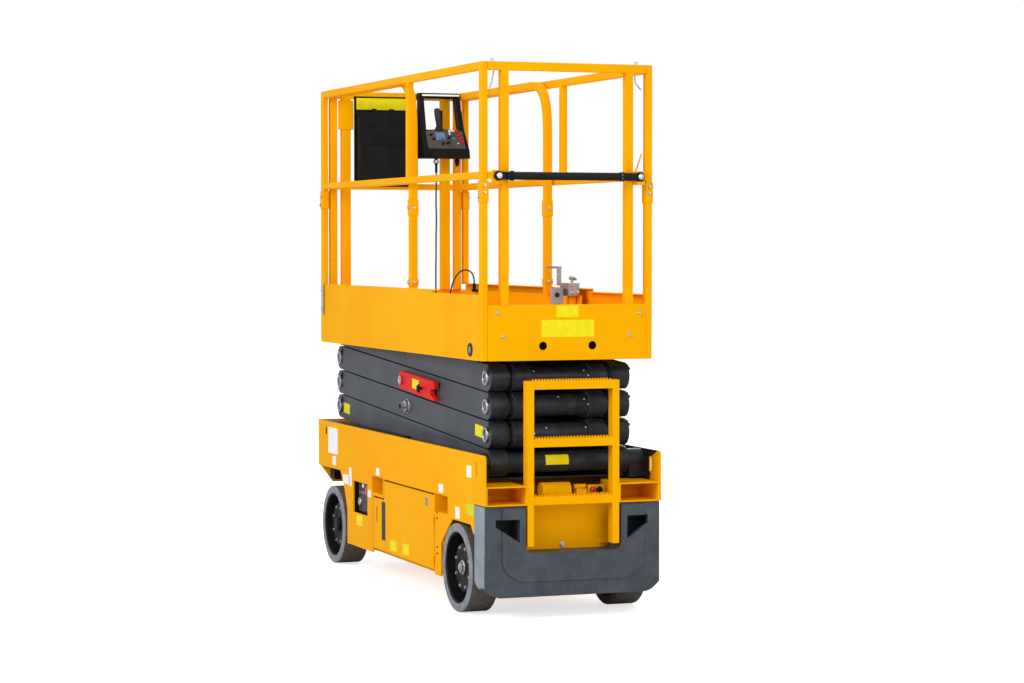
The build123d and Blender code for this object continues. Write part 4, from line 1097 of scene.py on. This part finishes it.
spline.use_endpoint_u = True
cable = bpy.data.objects.new("upper_control_cable", line)
bpy.context.collection.objects.link(cable)
finish_as(cable, cable_sheath, "extension")
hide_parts("control_cable")

# Floor, light and camera

# The floor's own glow towards the camera and the sky's light on the lift: the background reads as white
floor_glow = 0.68
sky_light = 0.5

deselect()
bpy.ops.mesh.primitive_plane_add(size=60, location=(0, 0, 0))
floor = settle("studio_floor")
floor_finish, floor_tree, floor_shader, _ = new_finish("pale_floor", "EDEEF0", 0.8)
seen = add(floor_tree, "ShaderNodeLightPath").outputs["Is Camera Ray"]
floor_shader.inputs["Emission Color"].default_value = linear("FFFFFF")
lift = add(floor_tree, "ShaderNodeMath", {"operation": "MULTIPLY", 1: floor_glow}, {0: seen})
floor_tree.links.new(lift.outputs[0], floor_shader.inputs["Emission Strength"])
floor.data.materials.append(floor_finish)

world = bpy.data.worlds.new("studio")
bpy.context.scene.world = world
world.use_nodes = True
sky = world.node_tree
paths = add(sky, "ShaderNodeLightPath")
seen = add(sky, "ShaderNodeMath", {"operation": "MAXIMUM"},
           {0: paths.outputs["Is Camera Ray"], 1: paths.outputs["Is Glossy Ray"]})
seen = add(sky, "ShaderNodeMath", {"operation": "MAXIMUM"},
           {0: seen.outputs[0], 1: paths.outputs["Is Transmission Ray"]})
glow = add(sky, "ShaderNodeMapRange", {"To Min": sky_light, "To Max": 1.0}, {"Value": seen.outputs[0]})
backdrop = sky.nodes["Background"]
backdrop.inputs["Color"].default_value = linear("FFFFFF")
sky.links.new(glow.outputs["Result"], backdrop.inputs["Strength"])


def soft_box(name, place, aim, size, power):
    """A square studio lamp that shines at a point."""
    lamp = bpy.data.lights.new(name, "AREA")
    lamp.shape = "SQUARE"
    lamp.size = size
    lamp.energy = power
    holder = bpy.data.objects.new(name, lamp)
    bpy.context.collection.objects.link(holder)
    holder.location = place
    holder.rotation_euler = (Vector(aim) - Vector(place)).to_track_quat("-Z", "Y").to_euler()


# Places and sizes of lamps are in metres, their power in watts
soft_box("key_light", (-3.5, 7.0, 5.0), (0, 0, 1.1), 4.0, 310)
soft_box("front_fill", (-8.0, -1.0, 3.5), (0, 0, 1.0), 4.0, 128)
soft_box("top_light", (0.5, 0, 7.0), (0, 0, 1.0), 5.0, 80)
soft_box("far_fill", (6.5, -5.5, 4.0), (0, 0, 1.1), 4.0, 230)

level_reach = math.cos(camera_pitch)
view_line = Vector((level_reach * math.cos(camera_yaw), level_reach * math.sin(camera_yaw),
                    math.sin(camera_pitch)))
camera_data = bpy.data.cameras.new("photo_camera")
camera_data.lens = camera_lens
camera_data.sensor_width = 36
camera = bpy.data.objects.new("photo_camera", camera_data)
bpy.context.collection.objects.link(camera)
camera.location = camera_place
camera.rotation_euler = view_line.to_track_quat("-Z", "Y").to_euler()
bpy.context.scene.camera = camera
bpy.context.scene.view_settings.view_transform = "Standard"
